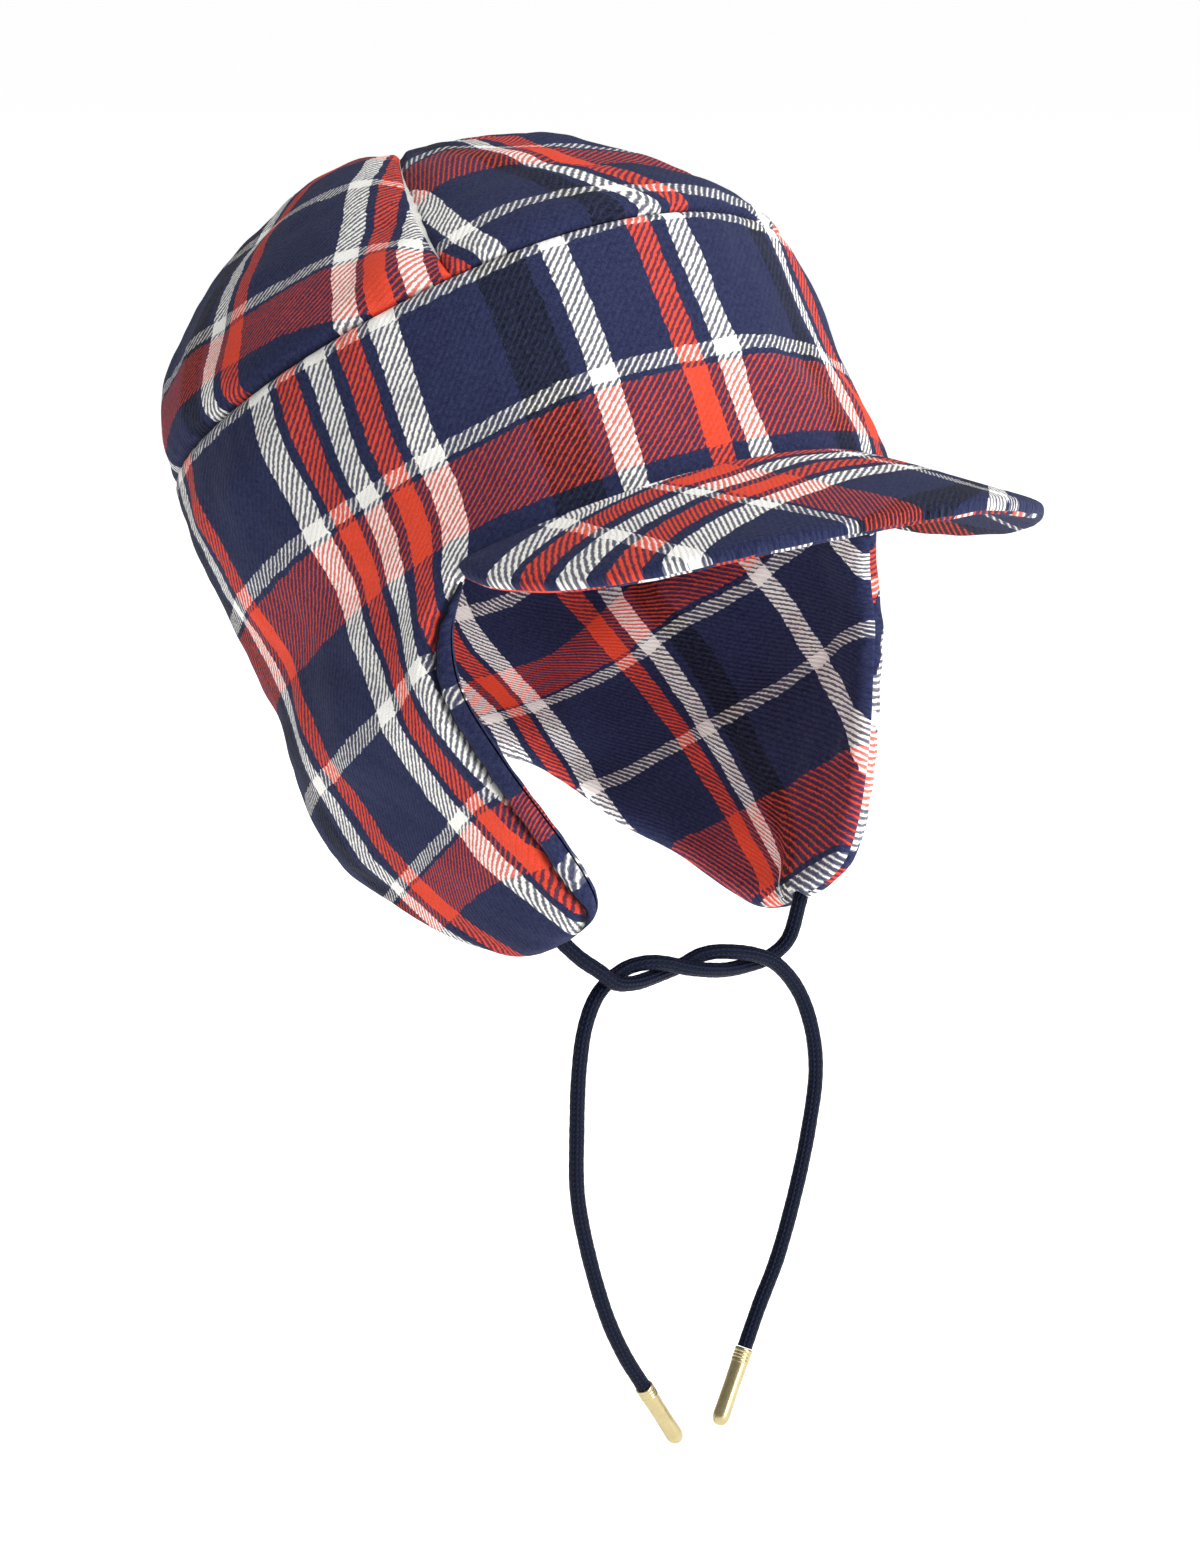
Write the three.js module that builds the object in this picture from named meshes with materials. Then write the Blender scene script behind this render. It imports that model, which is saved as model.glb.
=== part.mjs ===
// Trapper hat: padded flannel crown and band, stiffened visor, two ear flaps, tie cords with metal tips.
// Millimetres. Row frame: +Z up as worn with the head raised, -Y to the front, +X to the wearer's left.
// The hat itself is drawn in its own frame (crown axis = z, visor seam at z = 0), which leans back by LEAN.
import * as THREE from 'three';

// ---- driving dimensions ------------------------------------------------------------------------
const LEAN = 28.17 * Math.PI / 180;      // crown axis leans back from the vertical
const OUTER = 1.4, WAD = 2.5, LINING = 1.2;  // thickness of the three cloth layers
const GAP = 0.3;                         // clearance kept between neighbouring pieces
const APEX = [0, 10.7, 139];             // where the four crown panels meet
const CROWN_SEAM = [-130, -45.5, 45.5, 130]; // degrees round the crown axis, 0 = front
const VISOR_HALF = 63.57;                // degrees, half width of the visor seam
const VISOR_REACH = 49.7, VISOR_DROP = 34.4, VISOR_ARCH = 10.5;
const VISOR_COVER = 1.2, VISOR_BOARD = 1.6;
const FOLD = [-24.0, -0.283];            // ear flap fold plane: z = FOLD[0] + FOLD[1] * y
const FOLD_FRONT = 70.6, FOLD_REAR = 141; // degrees, ends of the fold on the cloth
const CORD_D = 4.2;                      // braided tie cord
const AGLET_R = 2.55, AGLET_L = 23;      // metal cord tip
// Horizontal sections of the outer cloth: height, half width, front and rear half depth, centre y
const SECTION = [
  [-100, 44.5, 97, 92, -2], [-75, 60, 97, 92.5, -2], [-50, 73.5, 97, 99.5, -2], [-25, 83.5, 97, 100, -2],
  [0, 85.7, 96.2, 100, -1.9], [40, 90.6, 92.5, 99, 2], [60, 90, 93, 99, 4.4], [74, 88.7, 92.4, 95.4, 6], [90, 86, 90, 92, 6]];
// Lower edge of the cloth from the end of the visor round the ear flap to the nape: degrees, height
const HEM = [[63.57, -2.3], [65, -5], [67.5, -9.5], [70, -15], [72.3, -25], [73.8, -38], [74.5, -50], [75, -62],
  [75.6, -73], [76.5, -82], [78, -89.3], [80.3, -93.7], [84.2, -96], [91.5, -97], [97, -96.5], [103.5, -93.5],
  [111, -86], [119, -76], [128, -63], [136, -51.5], [143, -39.5], [148, -31], [153, -23.5], [160, -18], [170, -15.5], [180, -15]];
// Centre lines of the two tie cords, in the row frame, joined by one half knot
const CORD_PLANE_Y = -44.7;

// ---- small maths -------------------------------------------------------------------------------
const rad = (d) => d * Math.PI / 180;
function pchip(xs, ys) {                 // monotone cubic through the points
  const n = xs.length, h = [], m = [], d = new Array(n);
  for (let i = 0; i < n - 1; i++) { h.push(xs[i + 1] - xs[i]); m.push((ys[i + 1] - ys[i]) / h[i]); }
  for (let i = 1; i < n - 1; i++) {
    if (m[i - 1] * m[i] <= 0) d[i] = 0;
    else { const a = 2 * h[i] + h[i - 1], b = h[i] + 2 * h[i - 1]; d[i] = (a + b) / (a / m[i - 1] + b / m[i]); }
  }
  const end = (h0, h1, m0, m1) => {
    let v = ((2 * h0 + h1) * m0 - h0 * m1) / (h0 + h1);
    if (v * m0 <= 0) v = 0; else if (m0 * m1 < 0 && Math.abs(v) > 3 * Math.abs(m0)) v = 3 * m0;
    return v;
  };
  d[0] = end(h[0], h[1], m[0], m[1]);
  d[n - 1] = end(h[n - 2], h[n - 3], m[n - 2], m[n - 3]);
  return (x) => {
    let i = 0;
    while (i < n - 2 && x > xs[i + 1]) i++;
    const t = (x - xs[i]) / h[i], t2 = t * t, t3 = t2 * t;
    return (2 * t3 - 3 * t2 + 1) * ys[i] + (t3 - 2 * t2 + t) * h[i] * d[i] + (3 * t2 - 2 * t3) * ys[i + 1] + (t3 - t2) * h[i] * d[i + 1];
  };
}
const secZ = SECTION.map((r) => r[0]);
const [fA, fBf, fBb, fYc] = [1, 2, 3, 4].map((k) => pchip(secZ, SECTION.map((r) => r[k])));
// Outer cloth of the band and flaps at angle th (radians) and height z
function S(th, z) {
  const c = Math.cos(th);
  return new THREE.Vector3(fA(z) * Math.sin(th), fYc(z) - (c > 0 ? fBf(z) : fBb(z)) * c, z);
}
function normalS(th, z) {
  const e = 1e-3, a = S(th + e, z).sub(S(th - e, z)), b = S(th, z + 0.5).sub(S(th, z - 0.5));
  return a.cross(b).normalize();
}
const onBand = (th, z, depth) => S(th, z).addScaledVector(normalS(th, z), -depth);
const zTop = (th) => 71.81 + 3.32 * Math.cos(th) + 3.2 * Math.cos(2 * th);
const zVisor = (th) => -4.16 * (1 - Math.cos(th));
// hem as a curve by arc length
const hemS = [0];
for (let i = 1; i < HEM.length; i++) hemS.push(hemS[i - 1] + Math.hypot((HEM[i][0] - HEM[i - 1][0]) * 1.45, HEM[i][1] - HEM[i - 1][1]));
const hemTh = pchip(hemS, HEM.map((r) => r[0])), hemZ = pchip(hemS, HEM.map((r) => r[1]));
const hemZofTh = pchip(HEM.map((r) => r[0]), HEM.map((r) => r[1]));
function foldZ(th) { let z = -30; for (let k = 0; k < 25; k++) z = FOLD[0] + FOLD[1] * S(th, z).y; return z; }
// Lower edge of the fixed band cloth (degrees, unsigned)
function bandLow(deg) {
  if (deg <= VISOR_HALF) return zVisor(rad(deg)) + 0.35;
  if (deg < FOLD_FRONT) return hemZofTh(deg);
  if (deg <= FOLD_REAR) return Math.max(foldZ(rad(deg)), hemZofTh(deg)) + 0.2;
  return hemZofTh(deg);
}
// Crown: r^a + h^b = 1 along each meridian, puffed between the seams
function crown(th, t) {
  const wf = (1 + Math.cos(th)) / 2, a = 1.97 + (1.47 - 1.97) * wf, b = 2.19 + (1.3 - 2.19) * wf;
  const r = Math.pow(Math.max(0, Math.cos(t * Math.PI / 2)), 2 / a), h = Math.pow(Math.sin(t * Math.PI / 2), 2 / b);
  const base = S(th, zTop(th));
  const p = new THREE.Vector3(base.x * r, 6 + (base.y - 6) * r + (APEX[1] - 6) * (1 - r), base.z * (1 - h) + APEX[2] * h);
  const u = Math.abs(Math.atan2(Math.sin(th), Math.cos(th))), d = Math.min(Math.abs(u - rad(CROWN_SEAM[2])), Math.abs(u - rad(CROWN_SEAM[3])));
  const puff = 1.3 * Math.pow(Math.min(1, d / 0.6), 0.6) * Math.pow(Math.max(0, Math.sin(t * Math.PI)), 0.7);
  const n = new THREE.Vector3(Math.sin(th) * r, -Math.cos(th) * r, h).normalize();
  return p.addScaledVector(n, puff);
}
function normalC(th, t) {
  if (t > 0.995) return new THREE.Vector3(0, 0, 1);
  const tt = Math.min(0.97, Math.max(0.03, t)), e = 0.02;
  const n = crown(th + e, tt).sub(crown(th - e, tt)).cross(crown(th, tt + e).sub(crown(th, tt - e))).normalize();
  if (t < 0.02) { n.z = 0; n.normalize(); }
  return n;
}
const onCrown = (th, t, depth) => crown(th, t).addScaledVector(normalC(th, t), -depth);

// ---- mesh helpers ------------------------------------------------------------------------------
// A cloth layer: point(i, j, side) on an nu x nv grid, side 0 = outer face, 1 = inner face
function shell(point, nu, nv, { wrap = false, pole = false } = {}) {
  const cols = wrap ? nu : nu + 1, rows = pole ? nv : nv + 1, pos = [], idx = [];
  const id = (s, i, j) => (pole && j === nv ? 2 * cols * rows + s : (s * cols + (wrap ? i % nu : i)) * rows + j);
  for (let s = 0; s < 2; s++) for (let i = 0; i < cols; i++) for (let j = 0; j < rows; j++) { const p = point(i, j, s); pos.push(p.x, p.y, p.z); }
  if (pole) for (let s = 0; s < 2; s++) { const p = point(0, nv, s); pos.push(p.x, p.y, p.z); }
  const tri = (a, b, c) => { if (a !== b && b !== c && a !== c) idx.push(a, b, c); };
  const quad = (a, b, c, d) => { tri(a, b, c); tri(a, c, d); };
  for (let i = 0; i < nu; i++) for (let j = 0; j < nv; j++) {
    quad(id(0, i, j), id(0, i + 1, j), id(0, i + 1, j + 1), id(0, i, j + 1));
    // inner face: same diagonal, turned over
    tri(id(1, i, j), id(1, i + 1, j + 1), id(1, i + 1, j)); tri(id(1, i, j), id(1, i, j + 1), id(1, i + 1, j + 1));
  }
  for (let i = 0; i < nu; i++) {
    quad(id(1, i, 0), id(1, i + 1, 0), id(0, i + 1, 0), id(0, i, 0));
    if (!pole) quad(id(0, i, nv), id(0, i + 1, nv), id(1, i + 1, nv), id(1, i, nv));
  }
  if (!wrap) for (let j = 0; j < nv; j++) {
    quad(id(1, 0, j), id(0, 0, j), id(0, 0, j + 1), id(1, 0, j + 1));
    quad(id(0, nu, j), id(1, nu, j), id(1, nu, j + 1), id(0, nu, j + 1));
  }
  return solid(pos, idx);
}
function solid(pos, idx) {               // turns the body outward and shades it flat
  let v = 0;
  const P = (k) => new THREE.Vector3(pos[3 * k], pos[3 * k + 1], pos[3 * k + 2]);
  for (let k = 0; k < idx.length; k += 3) v += P(idx[k]).dot(P(idx[k + 1]).cross(P(idx[k + 2])));
  if (v < 0) for (let k = 0; k < idx.length; k += 3) { const q = idx[k + 1]; idx[k + 1] = idx[k + 2]; idx[k + 2] = q; }
  const g = new THREE.BufferGeometry();
  g.setAttribute('position', new THREE.Float32BufferAttribute(pos, 3));
  g.setIndex(idx); g.computeVertexNormals();
  return g;
}
const navy = 0x272b4e, red = 0x8e2a2c, cream = 0xe4ded6;
const cloth = (color, roughness = 0.92) => new THREE.MeshStandardMaterial({ color, roughness, metalness: 0 });
const group = new THREE.Group(), hat = new THREE.Group();
hat.rotation.x = -LEAN; group.add(hat);
function add(parent, name, geometry, material) { const m = new THREE.Mesh(geometry, material); m.name = name; parent.add(m); return m; }
const LAYERS = [['outer', 0, OUTER], ['wadding', OUTER + GAP, OUTER + GAP + WAD], ['lining', OUTER + WAD + 2 * GAP, OUTER + WAD + 2 * GAP + LINING]];
const tones = { outer: navy, wadding: 0xf0efea, lining: 0x33365a };

// ---- crown: four outer panels, one wadding dome, one lining dome --------------------------------
const NV_CROWN = 7;
const panelNames = ['crown_back_panel', 'crown_right_panel', 'crown_front_panel', 'crown_left_panel'];
const spans = [[CROWN_SEAM[3] - 360, CROWN_SEAM[0], 10], [CROWN_SEAM[0], CROWN_SEAM[1], 8], [CROWN_SEAM[1], CROWN_SEAM[2], 10], [CROWN_SEAM[2], CROWN_SEAM[3], 8]];
spans.forEach(([a, b, n], k) => {
  add(hat, panelNames[k], shell((i, j, s) => {
    const t = 0.96 * j / NV_CROWN, th = rad(a + (b - a) * i / n), p = crown(th, t), r = Math.max(4, Math.hypot(p.x, p.y - 8));
    const edge = (i === 0 ? 1 : i === n ? -1 : 0) * 0.28 / r;
    const q = onCrown(th + edge, t, s ? OUTER : 0);
    if (j === 0) q.z += 0.22;
    return q;
  }, n, NV_CROWN), cloth([0x2a2e52, 0x8e2a2c, 0x30345a, 0x7a2a30][k]));
});
const crownCols = [];
spans.forEach(([a, b, n]) => { for (let i = 0; i < n; i++) crownCols.push(rad(a + (b - a) * i / n)); });
for (const [layer, d0, d1] of LAYERS.slice(1)) add(hat, 'crown_' + layer, shell((i, j, s) => {
  const t = 0.96 * j / NV_CROWN, d = s ? d1 : d0;
  const q = j === NV_CROWN + 0 ? new THREE.Vector3(APEX[0], APEX[1], APEX[2] - 0.6 - d) : onCrown(crownCols[i % crownCols.length], t, d);
  if (j === 0) q.z += 0.22;
  return q;
}, crownCols.length, NV_CROWN, { wrap: true, pole: true }), cloth(tones[layer]));

// ---- band: one ring of cloth from the crown seam to the visor seam, the flap folds and the nape hem -
const half = [];
for (let i = 0; i <= 8; i++) half.push(VISOR_HALF * i / 8);
half.push(67.2, FOLD_FRONT);
for (let i = 1; i <= 9; i++) half.push(FOLD_FRONT + (FOLD_REAR - FOLD_FRONT) * i / 9);
for (const d of [148, 156, 164, 172, 180]) half.push(d);
const bandCols = [...half.slice(1, -1).map((d) => -d).reverse(), ...half];   // open list, wraps at the nape
const NV_BAND = 5;
const bandPoint = (i, j, depth) => {
  const deg = bandCols[i % bandCols.length], th = rad(deg), lo = bandLow(Math.abs(deg)), hi = zTop(th) - 0.22;
  return onBand(th, hi + (lo - hi) * j / NV_BAND, depth);
};
// the wadding stops short of the lower edge, inside the seam allowance
function shortOf(edge, row, mm) { return edge.lerp(row, Math.min(0.6, mm / Math.max(1, edge.distanceTo(row)))); }
for (const [layer, d0, d1] of LAYERS) add(hat, 'band_' + layer, shell((i, j, s) => {
  const p = bandPoint(i, j, s ? d1 : d0);
  return layer === 'wadding' && j === NV_BAND ? shortOf(p, bandPoint(i, j - 1, s ? d1 : d0), 4) : p;
}, bandCols.length, NV_BAND, { wrap: true }), cloth(tones[layer]));

// ---- ear flaps -----------------------------------------------------------------------------------
// hem arc positions of the two ends of the fold
function hemAtTh(deg) { let a = 0, b = hemS[hemS.length - 1]; for (let k = 0; k < 60; k++) { const m = (a + b) / 2; if (hemTh(m) < deg) a = m; else b = m; } return a; }
const hs0 = hemAtTh(FOLD_FRONT + 0.45), hs1 = hemAtTh(FOLD_REAR - 0.6);
const NU_FLAP = 16, NV_FLAP = 6;
function flapPoint(sg, i, j, depth) {
  const u = i / NU_FLAP, e = 0.5 - 0.5 * Math.cos(Math.PI * 0.08), w = (0.5 - 0.5 * Math.cos(Math.PI * (0.08 + 0.84 * u)) - e) / (1 - 2 * e);
  const thF = FOLD_FRONT + 1.0 + (FOLD_REAR - FOLD_FRONT - 2.2) * w, zF = foldZ(rad(thF)) - 0.25;
  const h = hs0 + (hs1 - hs0) * u, v = j / NV_FLAP;
  return onBand(sg * rad(thF + (hemTh(h) - thF) * v), zF + (hemZ(h) - zF) * v, depth);
}
for (const [side, sg] of [['right', -1], ['left', 1]]) {
  for (const [layer, d0, d1] of LAYERS) add(hat, `${side}_flap_${layer}`, shell((i, j, s) => {
    const p = flapPoint(sg, i, j, s ? d1 : d0);
    return layer === 'wadding' && j === NV_FLAP ? shortOf(p, flapPoint(sg, i, j - 1, s ? d1 : d0), 7) : p;
  }, NU_FLAP, NV_FLAP), cloth(tones[layer]));
  // bartack that holds the cord end between outer cloth and lining
  const at = (depth, z) => onBand(sg * rad(92), z, depth);
  const c = at(2.95, -93.6), box = new THREE.BoxGeometry(2.3, 7, 4.4), m = add(hat, `${side}_cord_bartack`, box, cloth(0x1f2240, 0.8));
  m.position.copy(c);
  m.rotation.y = sg * Math.atan2(at(2.95, -91).x * sg - at(2.95, -96).x * sg, 5);
}

// ---- visor ---------------------------------------------------------------------------------------
function visor(tau, k) {                 // tau -1..1 across, k 0 at the seam, 1 at the rim
  const th = tau * rad(VISOR_HALF), d = Math.pow(Math.max(0, 1 - Math.pow(Math.abs(tau), 2.2)), 0.75);
  return new THREE.Vector3(85.7 * Math.sin(th) + Math.sin(th) * d * VISOR_REACH * 0.55 * k,
    -1.89 - 96.15 * Math.cos(th) - VISOR_REACH * d * Math.cos(0.6 * th) * k,
    zVisor(th) - (VISOR_DROP * d + VISOR_ARCH * tau * tau * d) * k);
}
function normalV(tau, k) {
  const t = Math.max(-0.93, Math.min(0.93, tau)), e = 0.02;
  return visor(t + e, k).sub(visor(t - e, k)).cross(visor(t, 0.6).sub(visor(t, 0.4))).normalize();
}
const VT = VISOR_COVER, VB = VISOR_BOARD, halfV = VB / 2 + GAP + VT;
const vLayers = [['visor_top_cover', halfV, halfV - VT, 0, 0.985], ['visor_board', VB / 2, -VB / 2, 0.02, 0.95], ['visor_under_cover', VT - halfV, -halfV, 0, 0.985]];
const NU_V = 18;
for (const [name, d0, d1, k0, k1] of vLayers) add(hat, name, shell((i, j, s) => {
  const tau = (name === 'visor_board' ? 0.955 : 0.975) * Math.sin(Math.PI / 2 * (2 * i / NU_V - 1) * 0.94) / Math.sin(Math.PI / 2 * 0.94);
  const len = Math.max(1, visor(tau, 1).distanceTo(visor(tau, 0))), start = Math.min(0.45, 1.1 / len) + k0, k = start + (k1 - start) * j / 3;
  return visor(tau, k).addScaledVector(normalV(tau, k), s ? d1 : d0);
}, NU_V, 3), cloth(name === 'visor_board' ? 0xf4f2ec : name === 'visor_top_cover' ? 0x8e2a2c : navy, name === 'visor_board' ? 0.5 : 0.92));

// ---- tie cords with metal tips -------------------------------------------------------------------
// x, z, and how far the cord stands in front (-) or behind (+) its hanging plane
const CORDS = {
  right: [[-39.6, -89.3, -1.4], [-33.6, -93.6, -2.5], [-28.1, -97.5, -2.4], [-20.8, -98.9, -1.5], [-12.8, -99.1, 0.6], [-5.8, -98.7, 2.1], [1.6, -97.6, 2.5], [6.7, -96.0, 2.1], [11.1, -95.3, 0.7], [16.8, -95.8, -1.3], [24.3, -97.6, -2.5], [32.0, -101.4, -2.5], [41.0, -110.6, -2.0], [45.8, -122.2, -2.4], [46.9, -134.4, -3.0], [43.5, -150.4, -3.8], [38.3, -167.3, -4.2], [31.3, -185.7, -4.2], [24.3, -198.5, -4.2], [19.0, -209.3, -4.2]],
  left: [[40.3, -95.7, 1.4], [36.6, -99.3, 2.4], [31.0, -101.0, 2.5], [23.7, -101.3, 1.6], [14.5, -100.7, -0.3], [4.7, -98.9, -2.1], [-2.9, -97.0, -2.5], [-8.9, -95.1, -1.7], [-14.2, -94.4, 0.0], [-19.3, -95.3, 2.1], [-25.0, -97.7, 2.5], [-30.6, -101.7, 2.3], [-34.7, -109.1, 2.2], [-36.5, -121.2, 2.8], [-36.6, -140.0, 3.7], [-36.0, -156.3, 4.2], [-32.5, -172.6, 4.2], [-25.4, -193.2, 4.2], [-18.8, -205.9, 4.2], [-11.7, -216.2, 4.2]],
};
function circle(r, n) { const s = new THREE.Shape(); for (let i = 0; i < n; i++) { const a = 2 * Math.PI * (i + 0.5) / n, x = r * Math.cos(a), y = r * Math.sin(a); if (i) s.lineTo(x, y); else s.moveTo(x, y); } s.closePath(); return s; }
for (const [side, sg] of [['right', -1], ['left', 1]]) {
  const pts = CORDS[side].map(([x, z, y]) => new THREE.Vector3(x, CORD_PLANE_Y + y, z));
  // leaves the middle of the hem at the tip of the flap, in line with the cloth
  const exit = onBand(sg * rad(92), -97, 2.95), down = exit.clone().sub(onBand(sg * rad(92), -95, 2.95)).normalize();
  pts.unshift(exit.addScaledVector(down, 0.8).applyAxisAngle(new THREE.Vector3(1, 0, 0), -LEAN));
  const path = new THREE.CatmullRomCurve3(pts, false, 'centripetal');
  add(group, `${side}_cord`, new THREE.ExtrudeGeometry(circle(CORD_D / 2, 8), { steps: 40, bevelEnabled: false, extrudePath: path }), cloth(0x1c2140, 0.7));
  const end = path.getPointAt(1), dir = path.getTangentAt(1).normalize();
  const R = AGLET_R, prof = [[0, 0], [R - 0.35, 0], [R, 0.4], [R, 4], [R - 0.25, 4.4], [R - 0.25, AGLET_L - 2.2], [R - 0.7, AGLET_L - 0.8], [R - 1.5, AGLET_L], [0, AGLET_L]];
  const tip = add(group, `${side}_aglet`, new THREE.LatheGeometry(prof.map(([x, y]) => new THREE.Vector2(x, y)), 12), new THREE.MeshStandardMaterial({ color: 0xcfc19a, roughness: 0.32, metalness: 0.9 }));
  tip.position.copy(end).addScaledVector(dir, GAP);
  tip.quaternion.setFromUnitVectors(new THREE.Vector3(0, 1, 0), dir);
}
export default group;
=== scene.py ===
import math

import bpy
import numpy as np
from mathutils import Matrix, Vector

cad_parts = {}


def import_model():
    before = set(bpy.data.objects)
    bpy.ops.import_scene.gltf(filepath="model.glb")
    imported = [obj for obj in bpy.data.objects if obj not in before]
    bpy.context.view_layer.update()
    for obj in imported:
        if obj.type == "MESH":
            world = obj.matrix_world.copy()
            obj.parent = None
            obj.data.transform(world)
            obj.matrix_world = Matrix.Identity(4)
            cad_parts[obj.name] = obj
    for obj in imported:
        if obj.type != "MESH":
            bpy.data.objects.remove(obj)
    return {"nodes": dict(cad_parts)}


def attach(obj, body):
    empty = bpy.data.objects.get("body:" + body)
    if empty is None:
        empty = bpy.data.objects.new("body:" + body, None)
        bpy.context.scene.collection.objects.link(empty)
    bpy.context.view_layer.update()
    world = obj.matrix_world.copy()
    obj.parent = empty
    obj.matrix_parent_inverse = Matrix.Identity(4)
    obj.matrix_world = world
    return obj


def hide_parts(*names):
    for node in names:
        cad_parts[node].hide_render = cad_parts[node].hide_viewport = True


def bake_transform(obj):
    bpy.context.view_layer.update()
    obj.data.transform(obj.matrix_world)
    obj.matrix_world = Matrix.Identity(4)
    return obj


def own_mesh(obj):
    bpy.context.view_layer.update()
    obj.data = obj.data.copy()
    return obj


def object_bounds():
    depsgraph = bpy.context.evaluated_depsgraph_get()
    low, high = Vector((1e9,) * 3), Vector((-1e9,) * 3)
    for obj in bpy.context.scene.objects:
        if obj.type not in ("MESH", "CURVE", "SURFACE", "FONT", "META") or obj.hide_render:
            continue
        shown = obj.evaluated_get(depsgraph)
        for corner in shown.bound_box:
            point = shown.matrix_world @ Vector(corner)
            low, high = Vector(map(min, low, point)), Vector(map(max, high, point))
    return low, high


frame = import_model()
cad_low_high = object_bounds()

# Trapper hat. Lengths in this script are millimetres in the hat's own frame (crown axis = z, visor seam at
# z = 0, -y to the front); world() leans it back into the row frame and turns it into metres.
LEAN = math.radians(28.17)
rad = np.radians
CL, SL = math.cos(LEAN), math.sin(LEAN)


def world(p):
    p = np.asarray(p, float)
    x, y, z = p[..., 0], p[..., 1], p[..., 2]
    return np.stack([x, y * CL + z * SL, -y * SL + z * CL], -1) / 1000


# ---- camera ---------------------------------------------------------------------------------------
a, e = math.radians(-41.19), math.radians(9)
back = Vector((math.sin(a) * math.cos(e), -math.cos(a) * math.cos(e), math.sin(e)))
right = Vector((math.cos(a), math.sin(a), 0))
up = back.cross(right)
cam = bpy.data.objects.new("camera", bpy.data.cameras.new("camera"))
bpy.context.scene.collection.objects.link(cam)
cam.location = back * 1.5
cam.rotation_euler = (-back * 5400 + right * (600 - 578.48) - up * (780 - 596.51)).to_track_quat("-Z", "Y").to_euler()
cam.data.lens = 5400 / 1560 * 36
cam.data.sensor_width = 36
cam.data.clip_end = 60
bpy.context.scene.camera = cam


# ---- small maths ----------------------------------------------------------------------------------
def pchip(x, y):
    """Monotone cubic through the points, for arrays."""
    x, y = np.asarray(x, float), np.asarray(y, float)
    h, m = np.diff(x), np.diff(y) / np.diff(x)
    d = np.zeros(len(x))
    for i in range(1, len(x) - 1):
        if m[i - 1] * m[i] > 0:
            p, q = 2 * h[i] + h[i - 1], h[i] + 2 * h[i - 1]
            d[i] = (p + q) / (p / m[i - 1] + q / m[i])

    def end(h0, h1, m0, m1):
        v = ((2 * h0 + h1) * m0 - h0 * m1) / (h0 + h1)
        if v * m0 <= 0:
            return 0.0
        if m0 * m1 < 0 and abs(v) > 3 * abs(m0):
            return 3 * m0
        return v

    d[0], d[-1] = end(h[0], h[1], m[0], m[1]), end(h[-1], h[-2], m[-1], m[-2])

    def f(q):
        q = np.clip(np.asarray(q, float), x[0], x[-1])
        i = np.clip(np.searchsorted(x, q, side="right") - 1, 0, len(x) - 2)
        t = (q - x[i]) / h[i]
        t2, t3 = t * t, t * t * t
        return (2 * t3 - 3 * t2 + 1) * y[i] + (t3 - 2 * t2 + t) * h[i] * d[i] + (3 * t2 - 2 * t3) * y[i + 1] + (t3 - t2) * h[i] * d[i + 1]

    return f


def unit(v):
    return v / np.maximum(np.linalg.norm(v, axis=-1, keepdims=True), 1e-12)


def step(x, lo, hi):
    t = np.clip((x - lo) / (hi - lo), 0, 1)
    return t * t * (3 - 2 * t)


rng = np.random.default_rng(7)


def waves(n, short, long, seed):
    """A smooth random field of points in space, about -1 to 1."""
    g = np.random.default_rng(seed)
    k = unit(g.normal(size=(n, 3))) * (2 * np.pi / g.uniform(short, long, size=(n, 1)))
    ph, am = g.uniform(0, 2 * np.pi, n), g.uniform(0.6, 1, n)

    def f(p):
        return (np.sin(p @ k.T + ph) * am).sum(-1) / math.sqrt(n)

    return f


folds_wide = waves(9, 42, 75, 3)
folds_mid = waves(12, 16, 34, 5)
folds_fine = waves(14, 6, 12, 11)

# ---- the hat's surfaces ---------------------------------------------------------------------------
SEC = np.array([
    [-100, 44.5, 97, 92, -2], [-75, 60, 97, 92.5, -2], [-50, 73.5, 97, 99.5, -2], [-25, 83.5, 97, 100, -2],
    [0, 85.7, 96.2, 100, -1.9], [40, 90.6, 92.5, 99, 2], [60, 90, 93, 99, 4.4], [74, 88.7, 92.4, 95.4, 6], [90, 86, 90, 92, 6]])
HEM = np.array([
    [63.57, -2.3], [65, -5], [67.5, -9.5], [70, -15], [72.3, -25], [73.8, -38], [74.5, -50], [75, -62],
    [75.6, -73], [76.5, -82], [78, -89.3], [80.3, -93.7], [84.2, -96], [91.5, -97], [97, -96.5], [103.5, -93.5],
    [111, -86], [119, -76], [128, -63], [136, -51.5], [143, -39.5], [148, -31], [153, -23.5], [160, -18], [170, -15.5], [180, -15]])
fA, fBf, fBb, fYc = (pchip(SEC[:, 0], SEC[:, k]) for k in (1, 2, 3, 4))
VISOR_HALF = 63.57
THICK = 5.7  # outer cloth, wadding and lining together


def S(th, z):
    s, c = np.sin(th), np.cos(th)
    return np.stack([fA(z) * s, fYc(z) - np.where(c > 0, fBf(z), fBb(z)) * c, z + 0 * th], -1)


def normalS(th, z):
    d = 1e-3
    return unit(np.cross(S(th + d, z) - S(th - d, z), S(th, z + 0.5) - S(th, z - 0.5)))


def z_top(th):
    return 71.81 + 3.32 * np.cos(th) + 3.2 * np.cos(2 * th)


def z_visor(th):
    return -4.16 * (1 - np.cos(th))


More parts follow.
